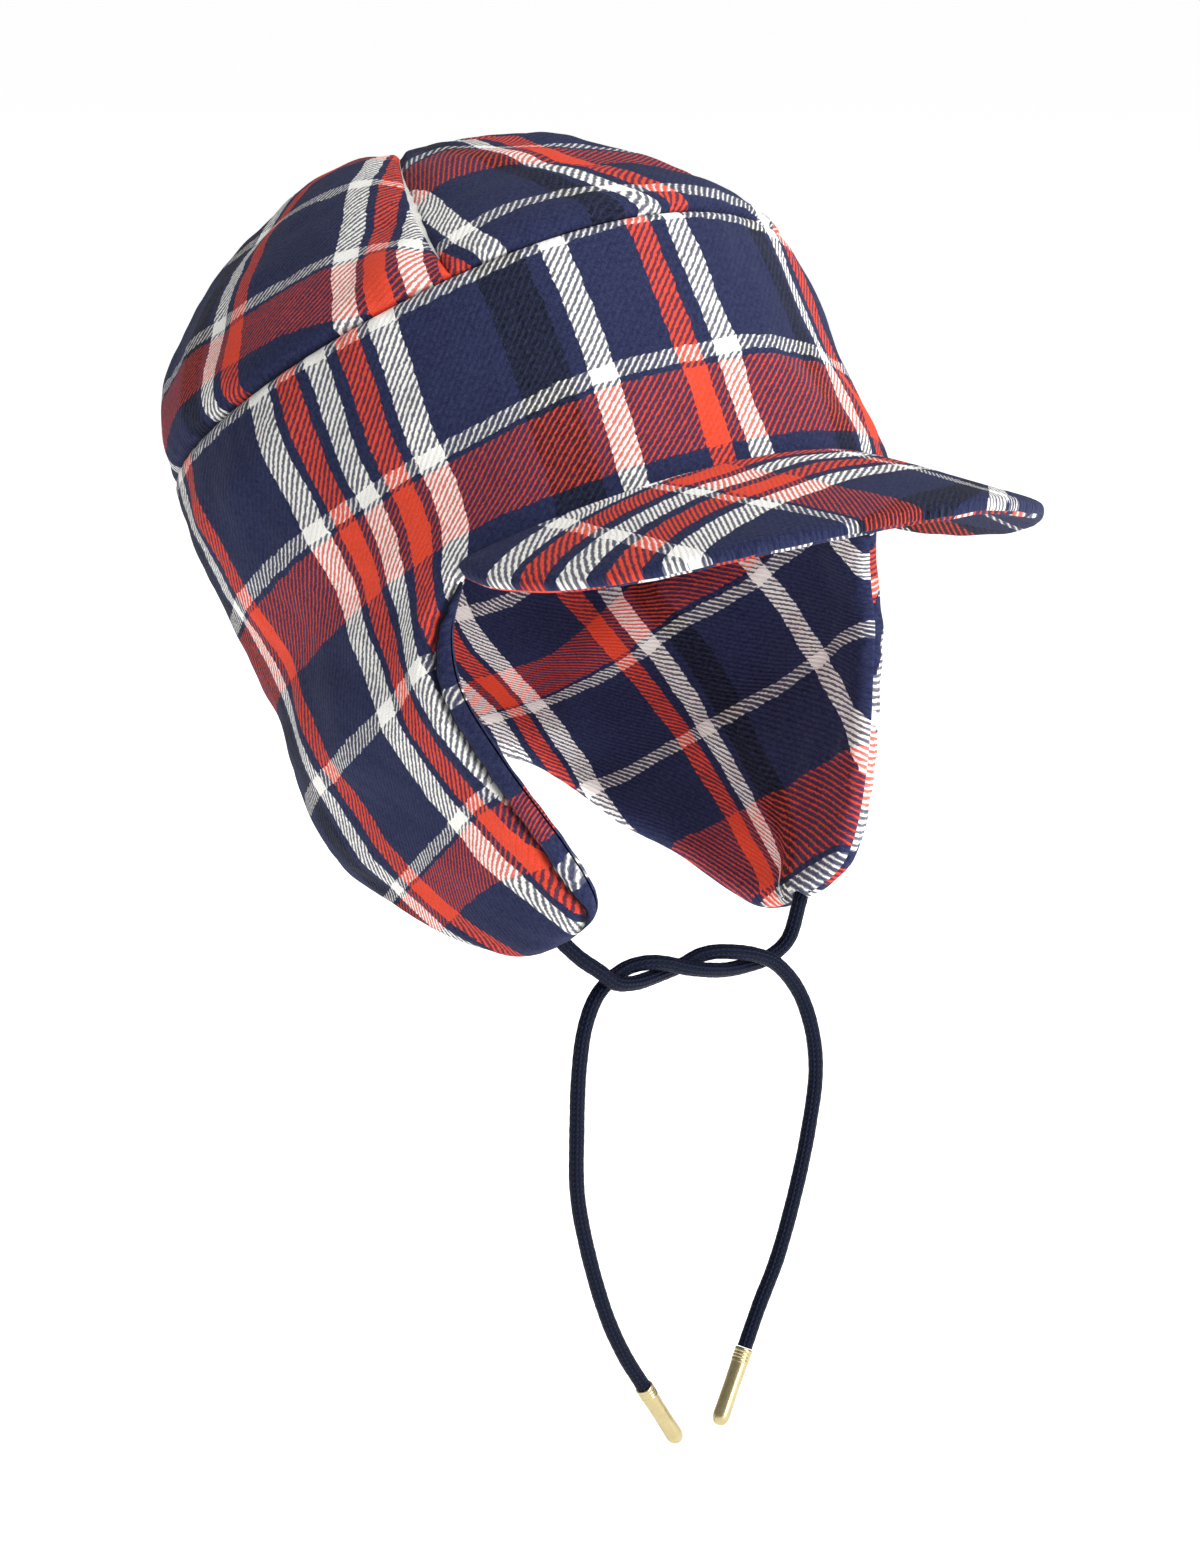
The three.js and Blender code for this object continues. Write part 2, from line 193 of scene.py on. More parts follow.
def crown(th, t):
    wf = (1 + np.cos(th)) / 2
    p, q = 1.97 - 0.5 * wf, 2.19 - 0.89 * wf
    r = np.maximum(0, np.cos(t * np.pi / 2)) ** (2 / p)
    h = np.maximum(0, np.sin(t * np.pi / 2)) ** (2 / q)
    base = S(th, z_top(th))
    P = np.stack([base[..., 0] * r, 6 + (base[..., 1] - 6) * r + 4.7 * (1 - r), base[..., 2] * (1 - h) + 139 * h], -1)
    u = np.abs(np.arctan2(np.sin(th), np.cos(th)))
    d = np.minimum(np.abs(u - rad(45.5)), np.abs(u - rad(130)))
    puff = 1.3 * np.minimum(1, d / 0.6) ** 0.6 * np.maximum(0, np.sin(t * np.pi)) ** 0.7
    return P + unit(np.stack([np.sin(th) * r, -np.cos(th) * r, h], -1)) * puff[..., None]


def normalC(th, t):
    tt = np.clip(t, 0.03, 0.965)
    n = unit(np.cross(crown(th + 0.02, tt) - crown(th - 0.02, tt), crown(th, tt + 0.02) - crown(th, tt - 0.02)))
    up_ = np.zeros_like(n)
    up_[..., 2] = 1
    return unit(n * (1 - step(t, 0.95, 1.0))[..., None] + up_ * step(t, 0.95, 1.0)[..., None])


def visor(tau, k):
    th = tau * rad(VISOR_HALF)
    d = np.maximum(0, 1 - np.abs(tau) ** 2.2) ** 0.75
    return np.stack([85.7 * np.sin(th) + np.sin(th) * d * 49.7 * 0.55 * k,
                     -1.89 - 96.15 * np.cos(th) - 49.7 * d * np.cos(0.6 * th) * k,
                     z_visor(th) - (34.4 * d + 10.5 * tau ** 2 * d) * k], -1)


# ---- the cloth's plaid: where the weave lies on each part ------------------------------------------
# arc length round the band at z = 40, from the front centre
_th = rad(np.linspace(-180, 180, 7201))
_p = S(_th, np.full_like(_th, 40.0))
_s = np.r_[0, np.cumsum(np.linalg.norm(np.diff(_p, axis=0), axis=1))]
_s -= np.interp(0, _th, _s)


def arc(th):
    return np.interp(th, _th, _s)


def warp_map(traces, along, fade=60.0):
    """traces: cloth value -> [(position along, place), ...]. Gives cloth value at (place, along)."""
    keys = sorted(traces)
    rows = np.arange(along[0], along[1] + 0.1, 1.0)
    place = np.stack([np.interp(rows, *zip(*sorted(traces[k]))) for k in keys], 1)
    g_ = np.exp(-(np.arange(-10, 11) / 4.0) ** 2 / 2)
    place = np.stack([np.convolve(np.pad(c, 10, mode="edge"), g_ / g_.sum(), "valid") for c in place.T], 1)
    dev = place - np.array(keys)

    def f(at, pos):
        i = np.clip((pos - rows[0]), 0, len(rows) - 1.001)
        j = i.astype(int)
        w = (i - j)[..., None]
        pl = place[j] * (1 - w) + place[j + 1] * w
        dv = dev[j] * (1 - w) + dev[j + 1] * w
        # the last traces' slopes are held, so the cloth goes on evenly past them
        out = np.zeros(at.shape)
        flat_at, flat_pl, flat_dv, flat_out = at.ravel(), pl.reshape(-1, len(keys)), dv.reshape(-1, len(keys)), out.ravel()
        if keys and (flat_pl[:, 0] > flat_pl[:, -1]).any():
            order = np.argsort(flat_pl, axis=1)
            flat_pl, flat_dv = np.take_along_axis(flat_pl, order, 1), np.take_along_axis(flat_dv, order, 1)
        n = len(keys)
        k = np.clip((flat_at[:, None] > flat_pl).sum(1) - 1, 0, n - 2)
        r_ = np.arange(len(flat_at))
        x0, x1 = flat_pl[r_, k], flat_pl[r_, k + 1]
        t = np.clip((flat_at - x0) / np.maximum(x1 - x0, 1e-6), 0, 1)
        flat_out[:] = flat_dv[r_, k] * (1 - t) + flat_dv[r_, k + 1] * t
        return at - flat_out.reshape(at.shape)

    return f


# outer cloth of band and flaps: u by (s, z), from the stripes' run down the band and flap
U_OUT = {
    -179.75: [(60, -181), (40, -178), (20, -184), (10, -186), (0, -185), (-10, -182), (-20, -178), (-40, -178), (-60, -178.6), (-80, -172.5), (-90, -163)],
    -135: [(65, -135), (30, -135), (10, -138), (0, -140.4), (-10, -139), (-20, -138.7), (-30, -141.8), (-40, -142.9), (-50, -143.6), (-60, -142.5), (-70, -142.6), (-80, -140.7), (-90, -136)],
    -124.5: [(65, -123.6), (20, -125.7), (10, -127), (0, -130.4), (-10, -130), (-20, -131.4), (-30, -133), (-40, -134.4), (-50, -134.4), (-70, -131), (-80, -128)],
    -113.25: [(65, -113), (20, -116), (10, -117), (0, -121), (-10, -122.4), (-20, -124), (-40, -124), (-70, -121)],
    -102.5: [(65, -102), (20, -105.4), (10, -106.4), (0, -112), (-10, -114.6), (-40, -116)],
    -90.75: [(65, -91), (20, -94.6), (10, -96), (0, -103.0), (-10, -106)],
    -55.75: [(70, -56.5), (40, -56), (20, -61), (0, -64.5), (-10, -66)],
    -41: [(40, -41), (30, -42.7), (20, -45), (10, -48), (0, -50)],
    -14.25: [(60, -14.5), (30, -16), (20, -18.5), (10, -21.5), (0, -24)],
    -2.5: [(40, -2.5), (30, -5), (20, -7.5), (10, -9.5), (3, -11)],
    60: [(40, 60), (20, 58), (0, 55)],
    100: [(40, 100), (0, 100)],
}
V_OUT = {  # v by (z, s)
    74.5: [(-160, 66), (-140, 67), (-120, 68.5), (-100, 69), (-80, 71), (-60, 73), (-50, 75), (-20, 77.5), (0, 78), (20, 76.5), (30, 75), (60, 72)],
    35.5: [(-175, 23), (-140, 24.5), (-120, 26), (-100, 28), (-80, 30), (-60, 32.5), (-50, 34), (-40, 35), (0, 36.5), (30, 35), (60, 33)],
    7.75: [(-170, -1.5), (-140, 1), (-110, 4.5), (-90, 7), (0, 8)],
    -19: [(-175, -31), (-160, -29.5), (-140, -27), (-130, -23.5), (-125, -21), (-100, -19)],
    -58: [(-200, -64), (-175, -63), (-150, -60.5), (-140, -58), (-130, -56), (-100, -56)],
    -85.75: [(-180, -77.5), (-145, -75), (-120, -80)],
}
_uo, _vo = warp_map(U_OUT, (-100, 80)), warp_map(V_OUT, (-200, 60))


def uv_out(th, z):
    s = arc(th)
    return np.stack([_uo(s, z), _vo(z, s)], -1)


U_LIN = {
    -2.5: [(9, 159), (2, 154), (-7, 151), (-19, 146), (-31, 141), (-45, 131), (-59, 120), (-90, 108)],
    31.75: [(11, 199), (4, 194), (-6, 188), (-21, 184), (-36, 179), (-51, 171), (-62, 165), (-80, 154)],
    43: [(17, 210), (6, 206), (-4, 201), (-18, 196), (-35, 190), (-49, 181), (-65, 172), (-80, 161), (-92, 149)],
    55.25: [(22, 224), (11, 218), (-2, 212), (-13, 207), (-28, 200), (-46, 190), (-61, 181), (-74, 173), (-91, 158)],
    100: [(22, 257), (13, 254), (3, 248), (-7, 243), (-17, 238), (-22, 238), (-28, 234), (-37, 232), (-48, 225), (-56, 220), (-80, 204)],
    110.5: [(15, 263), (7, 257), (-2, 252), (-10, 248), (-18, 247), (-25, 243), (-50, 233), (-80, 214)],
    121.75: [(15, 272), (-2, 261), (-10, 256), (-18, 255), (-25, 250), (-50, 242), (-80, 224)],
}
V_LIN = {  # cloth v against -z: the lining is cut the other way up
    -19: [(150, -52), (200, -42), (240, -24)],
    7.75: [(150, -26), (180, -24), (210, -12), (232, -4.5)],
    35.5: [(140, -2.5), (157, 0), (174, 1), (189, 1), (201, 3), (225, 7), (240, 8)],
    74.5: [(130, 30), (141, 31), (159, 33), (175, 34), (190, 35), (205, 36), (219, 38), (232, 38)],
    101.25: [(122, 64), (140, 63), (163, 64), (183, 65), (199, 65)],
    125.25: [(118, 90), (135, 90), (160, 92)],
}
_ul, _vl = warp_map(U_LIN, (-100, 30)), warp_map(V_LIN, (100, 260))


def uv_lin(th, z):
    s = np.abs(arc(th))
    u = _ul(s, z)
    u = np.where(arc(th) > 0, u, 128 - u)
    return np.stack([u, _vl(-z, s)], -1)


U_CR = {  # crown panels: u by (across the panel, up the panel)
    "right": {43: [(5, -16), (10, -14), (20, -11), (30, -10), (50, -14)],
              55.25: [(5, -5), (20, -2.5), (40, -4), (60, -8)],
              100: [(10, 36), (20, 35), (30, 33), (50, 29.5), (60, 25), (70, 20.5), (80, 16.5), (90, 12), (100, 5), (110, -3)],
              110.5: [(15, 45), (30, 42), (50, 38.5), (60, 35), (70, 31), (80, 26), (90, 20), (100, 13), (110, 4)],
              121.75: [(15, 55), (30, 51), (40, 48.5), (60, 44), (80, 36), (100, 24)],
              132.5: [(20, 62), (35, 58), (60, 53)]},
    "front": {-14.25: [(4, -58), (15, -61.5), (30, -63)],
              -2.5: [(3, -52), (12, -53.5), (20, -54), (30, -52.5), (40, -50), (50, -47), (70, -46)],
              31.75: [(5, -22), (20, -23), (50, -22), (80, -19)],
              43: [(3, -6), (10, -11), (20, -14), (40, -17), (65, -14), (80, -8)],
              55.25: [(3, 3), (10, -1), (20, -5), (50, -8), (70, -2)],
              100: [(10, 42), (50, 34)]},
}
V_CR = {  # v by (up the panel, across the panel)
    "right": {7.75: [(0, 10), (20, 10.5), (40, 9.5), (55, 8)],
              31.75: [(-5, 22), (0, 22.5), (20, 28), (40, 32)],
              35.5: [(-5, 25), (0, 26), (10, 28), (20, 31), (40, 36)]},
    "front": {-19: [(-57, 22), (-50, 20.5), (-35, 19), (-20, 15), (-10, 11), (10, 7), (25, 6)],
              7.75: [(-45, 51), (-25, 49), (-15, 41), (-5, 31), (20, 26)],
              35.5: [(-25, 80), (-14, 69), (-5, 53), (20, 45)]},
}
PANELS = {"right": (-90, (0, -1, 0)), "front": (0, (1, 0, 0)), "left": (90, (0, 1, 0)), "back": (180, (-1, 0, 0))}


def panel_uv(side, P):
    """Cloth coordinates on a crown panel, from its own lateral and upward measure."""
    deg, ax = PANELS[side]
    ax = np.array(ax, float)
    thc = rad(deg)
    n = np.array([math.sin(thc), -math.cos(thc), 0])
    c0 = np.array([0, 8, 40.0])
    t = np.linspace(0, 1, 400)
    cen = crown(np.full_like(t, thc), t)
    w = np.r_[0, np.cumsum(np.linalg.norm(np.diff(cen, axis=0), axis=1))]
    ang = np.arctan2(P[..., 2] - c0[2], (P - c0) @ n)
    angc = np.arctan2(cen[:, 2] - c0[2], (cen - c0) @ n)
    order = np.argsort(angc)
    v = np.interp(ang, angc[order], w[order])
    u = P @ ax
    if side in U_CR:
        U, V = warp_map(U_CR[side], (0, 125)), warp_map(V_CR[side], (-80, 80))
        return np.stack([U(u, v), V(v, u)], -1)
    return np.stack([u + (150 if side == "left" else 176), v + (3 if side == "left" else -12)], -1)


def visor_uv(P):
    x, y = P[..., 0], P[..., 1]
    tr = {100: [(-78.3, 59.7), (-63.9, 71.5), (-49.5, 80.4), (-30, 88), (0, 92), (35, 80), (53, 42), (78, 12)],
          110.5: [(-77.2, 72.1), (-62.6, 79.1), (-31.7, 94.7), (-10, 97.5), (10.4, 98), (35, 87), (53, 51), (78, 20)],
          121.75: [(-74.5, 84), (-61.4, 90.6), (-28.9, 103.6), (6.3, 103.5), (35, 95), (53, 61), (78, 28)],
          132.5: [(-71, 98.8), (-59.2, 101.4), (-23.2, 112.5), (11.1, 110.0), (35, 102.5), (53, 70), (78, 36)],
          144.25: [(-63.1, 112.7), (-21.9, 120.7), (7.1, 119.1), (34.5, 110.9), (53, 79), (78, 45)],
          194: [(-63, 160), (-22, 158), (12, 150), (57, 106), (71, 78), (78, 66)]}
    f = warp_map(tr, (-95, 95))
    u = f(-y, x)
    xs = x - 0.2 * (-y - 95) * step(x, -60, -30)
    v = np.interp(xs, [-95, -61, -39.7, -37, -21, 14, 18, 45, 110], [110, 74.5, 35.5, 31.75, 7.75, -16.9, -21.1, -35, -52])
    return np.stack([u, v], -1)


# ---- mesh helpers -----------------------------------------------------------------------------------
def grid_faces(nu, nv, wrap=False):
    """Quads of an nu x nv vertex grid (column-major: id = i * nv + j)."""
    i = np.arange(nu if wrap else nu - 1)[:, None]
    j = np.arange(nv - 1)[None, :]
    i2 = (i + 1) % nu
    return np.stack([i * nv + j + 0 * i, i2 * nv + j, i2 * nv + j + 1, i * nv + j + 1 + 0 * i], -1).reshape(-1, 4)


def vertex_normals(V, F):
    n = np.zeros_like(V)
    a_, b_, c_, d_ = (V[F[:, k]] for k in range(4))
    fn = np.cross(c_ - a_, d_ - b_)
    for k in range(4):
        np.add.at(n, F[:, k], fn)
    return unit(n)


def mesh_object(name, V, F, uv=None, normals=None, smooth=True, extra=()):
    """V is used as given, in metres (the callers pass world() points); uv per vertex in cloth mm."""
    used = np.unique(F)
    remap = -np.ones(len(V), int)
    remap[used] = np.arange(len(used))
    F2 = remap[F]
    me = bpy.data.meshes.new(name)
    me.from_pydata(V[used].tolist(), [], F2.tolist())
    me.polygons.foreach_set("use_smooth", [smooth] * len(me.polygons))
    if uv is not None:
        layer = me.uv_layers.new(name="cloth")
        loops = np.zeros(len(me.loops), np.int64)
        me.loops.foreach_get("vertex_index", loops)
        layer.data.foreach_set("uv", (uv[used][loops] / 100).astype(np.float32).ravel())
    for lname, vals in extra:
        layer = me.uv_layers.new(name=lname)
        layer.data.foreach_set("uv", (vals[used][loops] / 100).astype(np.float32).ravel())
    if normals is not None:
        me.normals_split_custom_set_from_vertices([tuple(n) for n in normals[used]])
    me.update()
    o = bpy.data.objects.new(name, me)
    bpy.context.scene.collection.objects.link(o)
    return o


def near_line(P, line, reach):
    """Distance from each point to a polyline's points."""
    out, at = np.full(len(P), 1e3), np.zeros(len(P), int)
    for c in range(0, len(P), 2000):
        q = P[c:c + 2000]
        dd = (q ** 2).sum(1)[:, None] + (line ** 2).sum(1)[None] - 2 * q @ line.T
        at[c:c + 2000] = dd.argmin(1)
        out[c:c + 2000] = np.sqrt(np.maximum(0, dd.min(1)))
    return np.minimum(out, reach), at


def rolled(d, R, depth):
    """How far a cloth face has turned in at distance d from a sewn edge: a quarter round."""
    x = np.clip(1 - d / R, 0, 1)
    return depth * (1 - np.sqrt(1 - x * x))


# ---- band and ear flaps: one sheet of cloth each for the outside and the lining ---------------------
hem_s = np.r_[0, np.cumsum(np.hypot(np.diff(HEM[:, 0]) * 1.45, np.diff(HEM[:, 1])))]
hem_th, hem_z = pchip(hem_s, HEM[:, 0]), pchip(hem_s, HEM[:, 1])
N_FRONT, N_SIDE = 76, 215
deg_f = np.linspace(0, VISOR_HALF, N_FRONT + 1)[:-1]
h = np.linspace(0, hem_s[-1], N_SIDE)
top_side = 0.5 * hem_th(h) + 0.5 * (VISOR_HALF + (180 - VISOR_HALF) * h / hem_s[-1])
top_half = np.r_[deg_f, top_side]
low_half = np.r_[deg_f, hem_th(h)]
zlow_half = np.r_[z_visor(rad(deg_f)), hem_z(h)]
top_deg = np.r_[-top_half[1:][::-1], top_half]
low_deg = np.r_[-low_half[1:][::-1], low_half]
z_low = np.r_[zlow_half[1:][::-1], zlow_half]
NU = len(top_deg)
edge_a = np.array([0, 0.12, 0.35, 0.7, 1.15, 1.7, 2.4, 3.2, 4.2, 5.4, 6.8])
NMID = 84
zt_ = z_top(rad(top_deg))
L_ = zt_ - z_low
mid = np.linspace(0, 1, NMID + 2)[1:-1]
down = np.concatenate([np.broadcast_to(edge_a, (NU, len(edge_a))),
                       edge_a[-1] + (L_[:, None] - 2 * edge_a[-1]) * mid[None],
                       (L_[:, None] - edge_a[None, ::-1])], 1)
NV = down.shape[1]
q = down / L_[:, None]
TH = rad(top_deg[:, None] + (low_deg - top_deg)[:, None] * q ** 1.6)
Z = zt_[:, None] - down


def side_shape(th, z):
    """The soft hollow at ear level below the fuller band, on the sides and back."""
    w = step(np.abs(np.degrees(th)), 62, 98)
    s2, c2 = np.sin(th) ** 2, np.cos(th) ** 2
    return w * (2.8 * s2 * np.exp(-((z - 50) / 15.0) ** 2) + (2.4 * c2 - 3.6 * s2) * np.exp(-((z - 6) / 13.0) ** 2))


# On the near flap the lining turns over the front edge, so the joining seam lies on the outer face
hem_dense = np.linspace(0, hem_s[-1], 900)
seam_at = np.interp(hem_th(hem_dense), [63.57, 66, 69, 72, 74, 75, 76.5, 79, 82, 86, 90], [0.0, 0.8, 2.6, 4.4, 4.8, 5.2, 5.7, 3.4, 1.4, 0.4, 0.0])
base = S(TH, Z)
nrm = normalS(TH, Z)
radial = np.stack([np.sin(TH), -np.cos(TH), 0 * TH], -1)
flat = base.reshape(-1, 3)
hem_line = S(rad(hem_th(hem_dense)), hem_z(hem_dense))
hem_line = np.concatenate([hem_line, hem_line * [-1, 1, 1]])
d_hem, hem_i = near_line(flat, hem_line, 40)
d_hem, hem_i = d_hem.reshape(TH.shape), hem_i.reshape(TH.shape)
near_side = (TH < 0) & (hem_i >= 900)
to_seam = np.where(near_side, d_hem - seam_at[hem_i % 900], d_hem)   # positive inside the outer cloth
seam_on = np.where(near_side, step(seam_at[hem_i % 900], 0.3, 2.5), 0.0)
d_hem[:, -1] = np.where(np.abs(low_deg) >= VISOR_HALF, 0, d_hem[:, -1])
d_top = down
on_front = step(np.abs(low_deg), VISOR_HALF + 0.5, VISOR_HALF - 3)[:, None]
d_vis = np.where(np.abs(low_deg)[:, None] <= VISOR_HALF + 1e-6, L_[:, None] - down, 40)
d_vis = np.where(np.abs(top_deg)[:, None] > VISOR_HALF, 40, d_vis)
# where the hem meets the visor's end the two edges run into one another
sm = np.abs(np.degrees(TH))
flap_w = step(-Z, 5, 30)
pucker_t = 0.32 * np.sin(arc(TH) * 2 * np.pi / 8.5 + 2.1 * folds_wide(base)) * np.exp(-d_top / 5.0)
pucker_h = 0.38 * np.sin((Z + arc(TH)) * 2 * np.pi / 9.5 + 2.5 * folds_wide(base * 1.3)) * np.exp(-d_hem / 5.5)
free = step(d_top, 2, 14) * step(d_hem, 1, 12) * step(d_vis, 1, 10)
soft = free * (0.75 * folds_wide(base) + 0.62 * folds_mid(base) + 0.15 * folds_fine(base))
# shallow drag lines from the end of the visor down the front of the flap, and a dent at the flap's rear edge
def crease(th, z, t0, z0, t1, z1, wide, deep, sgn=None):
    """A soft furrow between two places on the cloth (degrees, mm)."""
    P0, P1 = np.array([arc(rad(t0)), z0]), np.array([arc(rad(t1)), z1])
    s_ = arc(th)
    X = np.stack([s_, z], -1)
    dvec = P1 - P0
    t = np.clip(((X - P0) @ dvec) / (dvec @ dvec), 0, 1)
    dist = np.linalg.norm(X - (P0 + t[..., None] * dvec), axis=-1)
    return deep * np.exp(-(dist / wide) ** 2) * np.sin(np.pi * np.clip(0.12 + 0.76 * t, 0, 1))


lines = 0
for sg in (-1, 1):
    lines = lines - crease(TH, Z, sg * 66, -2, sg * 78, -28, 3.2, 1.1)
    lines = lines - crease(TH, Z, sg * 68, 6, sg * 84, -14, 3.6, 0.9)
    lines = lines + crease(TH, Z, sg * 69, -8, sg * 77, -36, 2.6, 0.6)
    lines = lines - crease(TH, Z, sg * 112, 4, sg * 88, -14, 6.0, 1.0)
    lines = lines - crease(TH, Z, sg * 132, -58, sg * 118, -62, 5.0, 1.5)
    lines = lines - crease(TH, Z, sg * 150, 2, sg * 126, -8, 6.0, 1.2)
back_seam = 1.4 * np.exp(-((180 - sm) * 1.75 / 1.6) ** 2) * step(Z, -16, -6)
hold = 1 - np.exp(-(d_hem / 9.0) ** 2)
out_disp = (side_shape(TH, Z) * step(d_top, 0, 22) * step(d_hem, 0, 20) + soft + (lines - back_seam) * free ** 0.5
            + 1.7 * (d_hem / 8.0) * np.exp(1 - d_hem / 8.0) * step(d_vis, 0, 12)
            + 0.7 * (d_vis / 6.0) * np.exp(1 - d_vis / 6.0) * (d_vis < 39)
            + pucker_h * step(d_hem, 0, 1.5)
            - rolled(d_hem, 4.2, THICK / 2)
            - 0.6 * np.exp(-np.abs((180 - np.abs(np.degrees(TH))) * 1.6 / 1.8) ** 1.4)      # the band's join at the back
            - seam_on * (2.0 * np.exp(-np.abs(to_seam / 1.4) ** 1.4) - 0.9 * np.exp(-((to_seam - 4.5) / 3.0) ** 2) - 0.8 * np.exp(-((to_seam + 4.5) / 3.0) ** 2)))
seam_in = rolled(d_top, 3.0, 2.6) + rolled(d_vis, 2.4, 2.0) * on_front
top_puff = 0.8 * (d_top / 6.0) * np.exp(1 - d_top / 6.0)
OUT = base + nrm * out_disp[..., None] - radial * seam_in[..., None] + nrm * (top_puff + pucker_t * step(d_top, 0, 1.5))[..., None]
in_disp = (-THICK + side_shape(TH, Z) * step(d_top, 0, 22) * step(d_hem, 0, 20) + 0.8 * soft
           - 1.2 * (d_hem / 8.0) * np.exp(1 - d_hem / 8.0) + rolled(d_hem, 4.2, THICK / 2)
           - 0.7 * pucker_h * step(d_hem, 0, 1.5) + 0.6 * free * folds_mid(base * 1.2 + 30)
           + rolled(d_vis, 3.4, 3.5) * on_front)
LIN = base + nrm * in_disp[..., None]
# the lining is sewn to the outer cloth at the visor seam and hem

UV_OUT, UV_LIN = uv_out(TH, Z), uv_lin(TH, Z)
UV_EDGE = np.stack([78.0 + to_seam, np.interp(-Z, [0, 26, 30.6, 36, 55, 59.2, 71.7, 78, 86, 120], [45, 70, 74.5, 79, 97, 101.25, 125.25, 126.75, 131.25, 165])], -1)
wrap = (near_side * (1 - step(d_hem, 2, 16)) * step(-TH * 180 / np.pi, 62, 66) * (1 - step(-TH * 180 / np.pi, 84, 92)))[..., None]
UV_LIN = UV_LIN * (1 - wrap) + np.stack([78.0 - d_hem, UV_EDGE[..., 1]], -1) * wrap
EDGE = np.stack([np.where(near_side & (seam_on > 0), to_seam, 40.0), 0 * Z], -1)

# the fold of each ear flap
fold_n = np.array([0, 0.283, 1.0]) / math.hypot(0.283, 1)
above = (base @ fold_n) + 24.0 / math.hypot(0.283, 1)  # true distance above the fold plane
CUT = 15.0


def split_band(P, uv, name, flip, extra=()):
    V = world(P.reshape(-1, 3))
    F = grid_faces(NU, NV)
    if flip:
        F = F[:, ::-1]
    n = vertex_normals(V, F)
    # the two ends of the sheet meet at the back: share their normals
    for j in range(NV):
        i0, i1 = j, (NU - 1) * NV + j
        m = unit(n[i0] + n[i1])
        n[i0] = n[i1] = m
    ab, th = above.reshape(-1)[F].mean(1), TH.reshape(-1)[F].mean(1)
    rearward = np.abs(np.degrees(TH.reshape(-1)[F].mean(1))) < 146
    is_flap = (ab < CUT) & rearward & (np.abs(np.degrees(th)) > 60)
    made = {}
    for key, sel in (("root", ~is_flap), ("right", is_flap & (th < 0)), ("left", is_flap & (th >= 0))):
        o = mesh_object(f"{'band' if key == 'root' else key + '_flap'}_{name}", V, F[sel], uv.reshape(-1, 2), n, extra=extra)
        made[key] = o
    return made


# ---- materials ---------------------------------------------------------------------------------------
def srgb(r, g, b):
    def lin(c):
        c /= 255
        return c / 12.92 if c <= 0.04045 else ((c + 0.055) / 1.055) ** 2.4
    return (lin(r), lin(g), lin(b), 1)


NAVY, BLACK, WHITE, RED = srgb(30, 34, 65), srgb(7, 8, 12), srgb(250, 248, 241), srgb(226, 70, 33)
WARP = [(0, WHITE), (1.25, NAVY), (27.25, BLACK), (36.25, NAVY), (39.25, WHITE), (46.75, NAVY), (51.25, RED), (59.25, NAVY),
        (96.25, WHITE), (103.75, NAVY), (106.75, RED), (114.25, NAVY), (117.75, WHITE), (125.75, NAVY), (128.75, RED),
        (136.25, NAVY), (140.25, WHITE), (148.25, NAVY), (172.25, BLACK), (186.25, NAVY), (190.25, WHITE), (197.75, NAVY),
        (216.75, RED), (224.75, NAVY), (228.75, WHITE)]
# upward from 0: R 7.75..31.75, n, w 33.25..37.75, N, w 72.25..76.75, N
WEFT = [(0, NAVY), (7.75, RED), (31.75, NAVY), (33.25, WHITE), (37.75, NAVY), (72.25, WHITE), (76.75, NAVY)]


class Nodes:
    def __init__(self, name):
        self.m = bpy.data.materials.new(name)
        self.m.use_nodes = True
        self.t = self.m.node_tree
        self.b = next(n for n in self.t.nodes if n.type == "BSDF_PRINCIPLED")
        self.x = -300

    def new(self, kind, **kw):
        n = self.t.nodes.new(kind)
        for k, v in kw.items():
            setattr(n, k, v)
        self.x -= 40
        n.location = (self.x, 0)
        return n

    def link(self, a_, b_):
        self.t.links.new(a_, b_)

    def math(self, op, a_, b_=None, c_=None, clamp=False):
        n = self.new("ShaderNodeMath", operation=op, use_clamp=clamp)
        for k, v in enumerate((a_, b_, c_)):
            if v is None:
                continue
            if isinstance(v, (int, float)):
                n.inputs[k].default_value = v
            else:
                self.link(v, n.inputs[k])
        return n.outputs[0]

    def mix(self, fac, a_, b_, blend="MIX"):
        n = self.new("ShaderNodeMix", data_type="RGBA", blend_type=blend)
        for k, v in ((0, fac), (6, a_), (7, b_)):
            if isinstance(v, (int, float)):
                n.inputs[k].default_value = v
            elif isinstance(v, tuple):
                n.inputs[k].default_value = v
            else:
                self.link(v, n.inputs[k])
        return n.outputs[2]

    def ramp(self, fac, stops, interp="CONSTANT"):
        n = self.new("ShaderNodeValToRGB")
        cr = n.color_ramp
        cr.interpolation = interp
        while len(cr.elements) > 1:
            cr.elements.remove(cr.elements[-1])
        cr.elements[0].position, cr.elements[0].color = stops[0]
        for p, c in stops[1:]:
            el = cr.elements.new(p)
            el.color = c
        self.link(fac, n.inputs[0])
        return n.outputs[0]

    def noise(self, vec, scale, detail=2.0, rough=0.55):
        n = self.new("ShaderNodeTexNoise")
        n.inputs["Scale"].default_value = scale
        n.inputs["Detail"].default_value = detail
        n.inputs["Roughness"].default_value = rough
        self.link(vec, n.inputs["Vector"])
        return n.outputs[0]

    def range(self, v, a0, a1, b0, b1, smooth=False):
        n = self.new("ShaderNodeMapRange", interpolation_type="SMOOTHSTEP" if smooth else "LINEAR")
        self.link(v, n.inputs[0])
        for k, x in zip((1, 2, 3, 4), (a0, a1, b0, b1)):
            n.inputs[k].default_value = x
        return n.outputs[0]


TWILL = 2.25         # mm along the warp or the weft from rib to rib


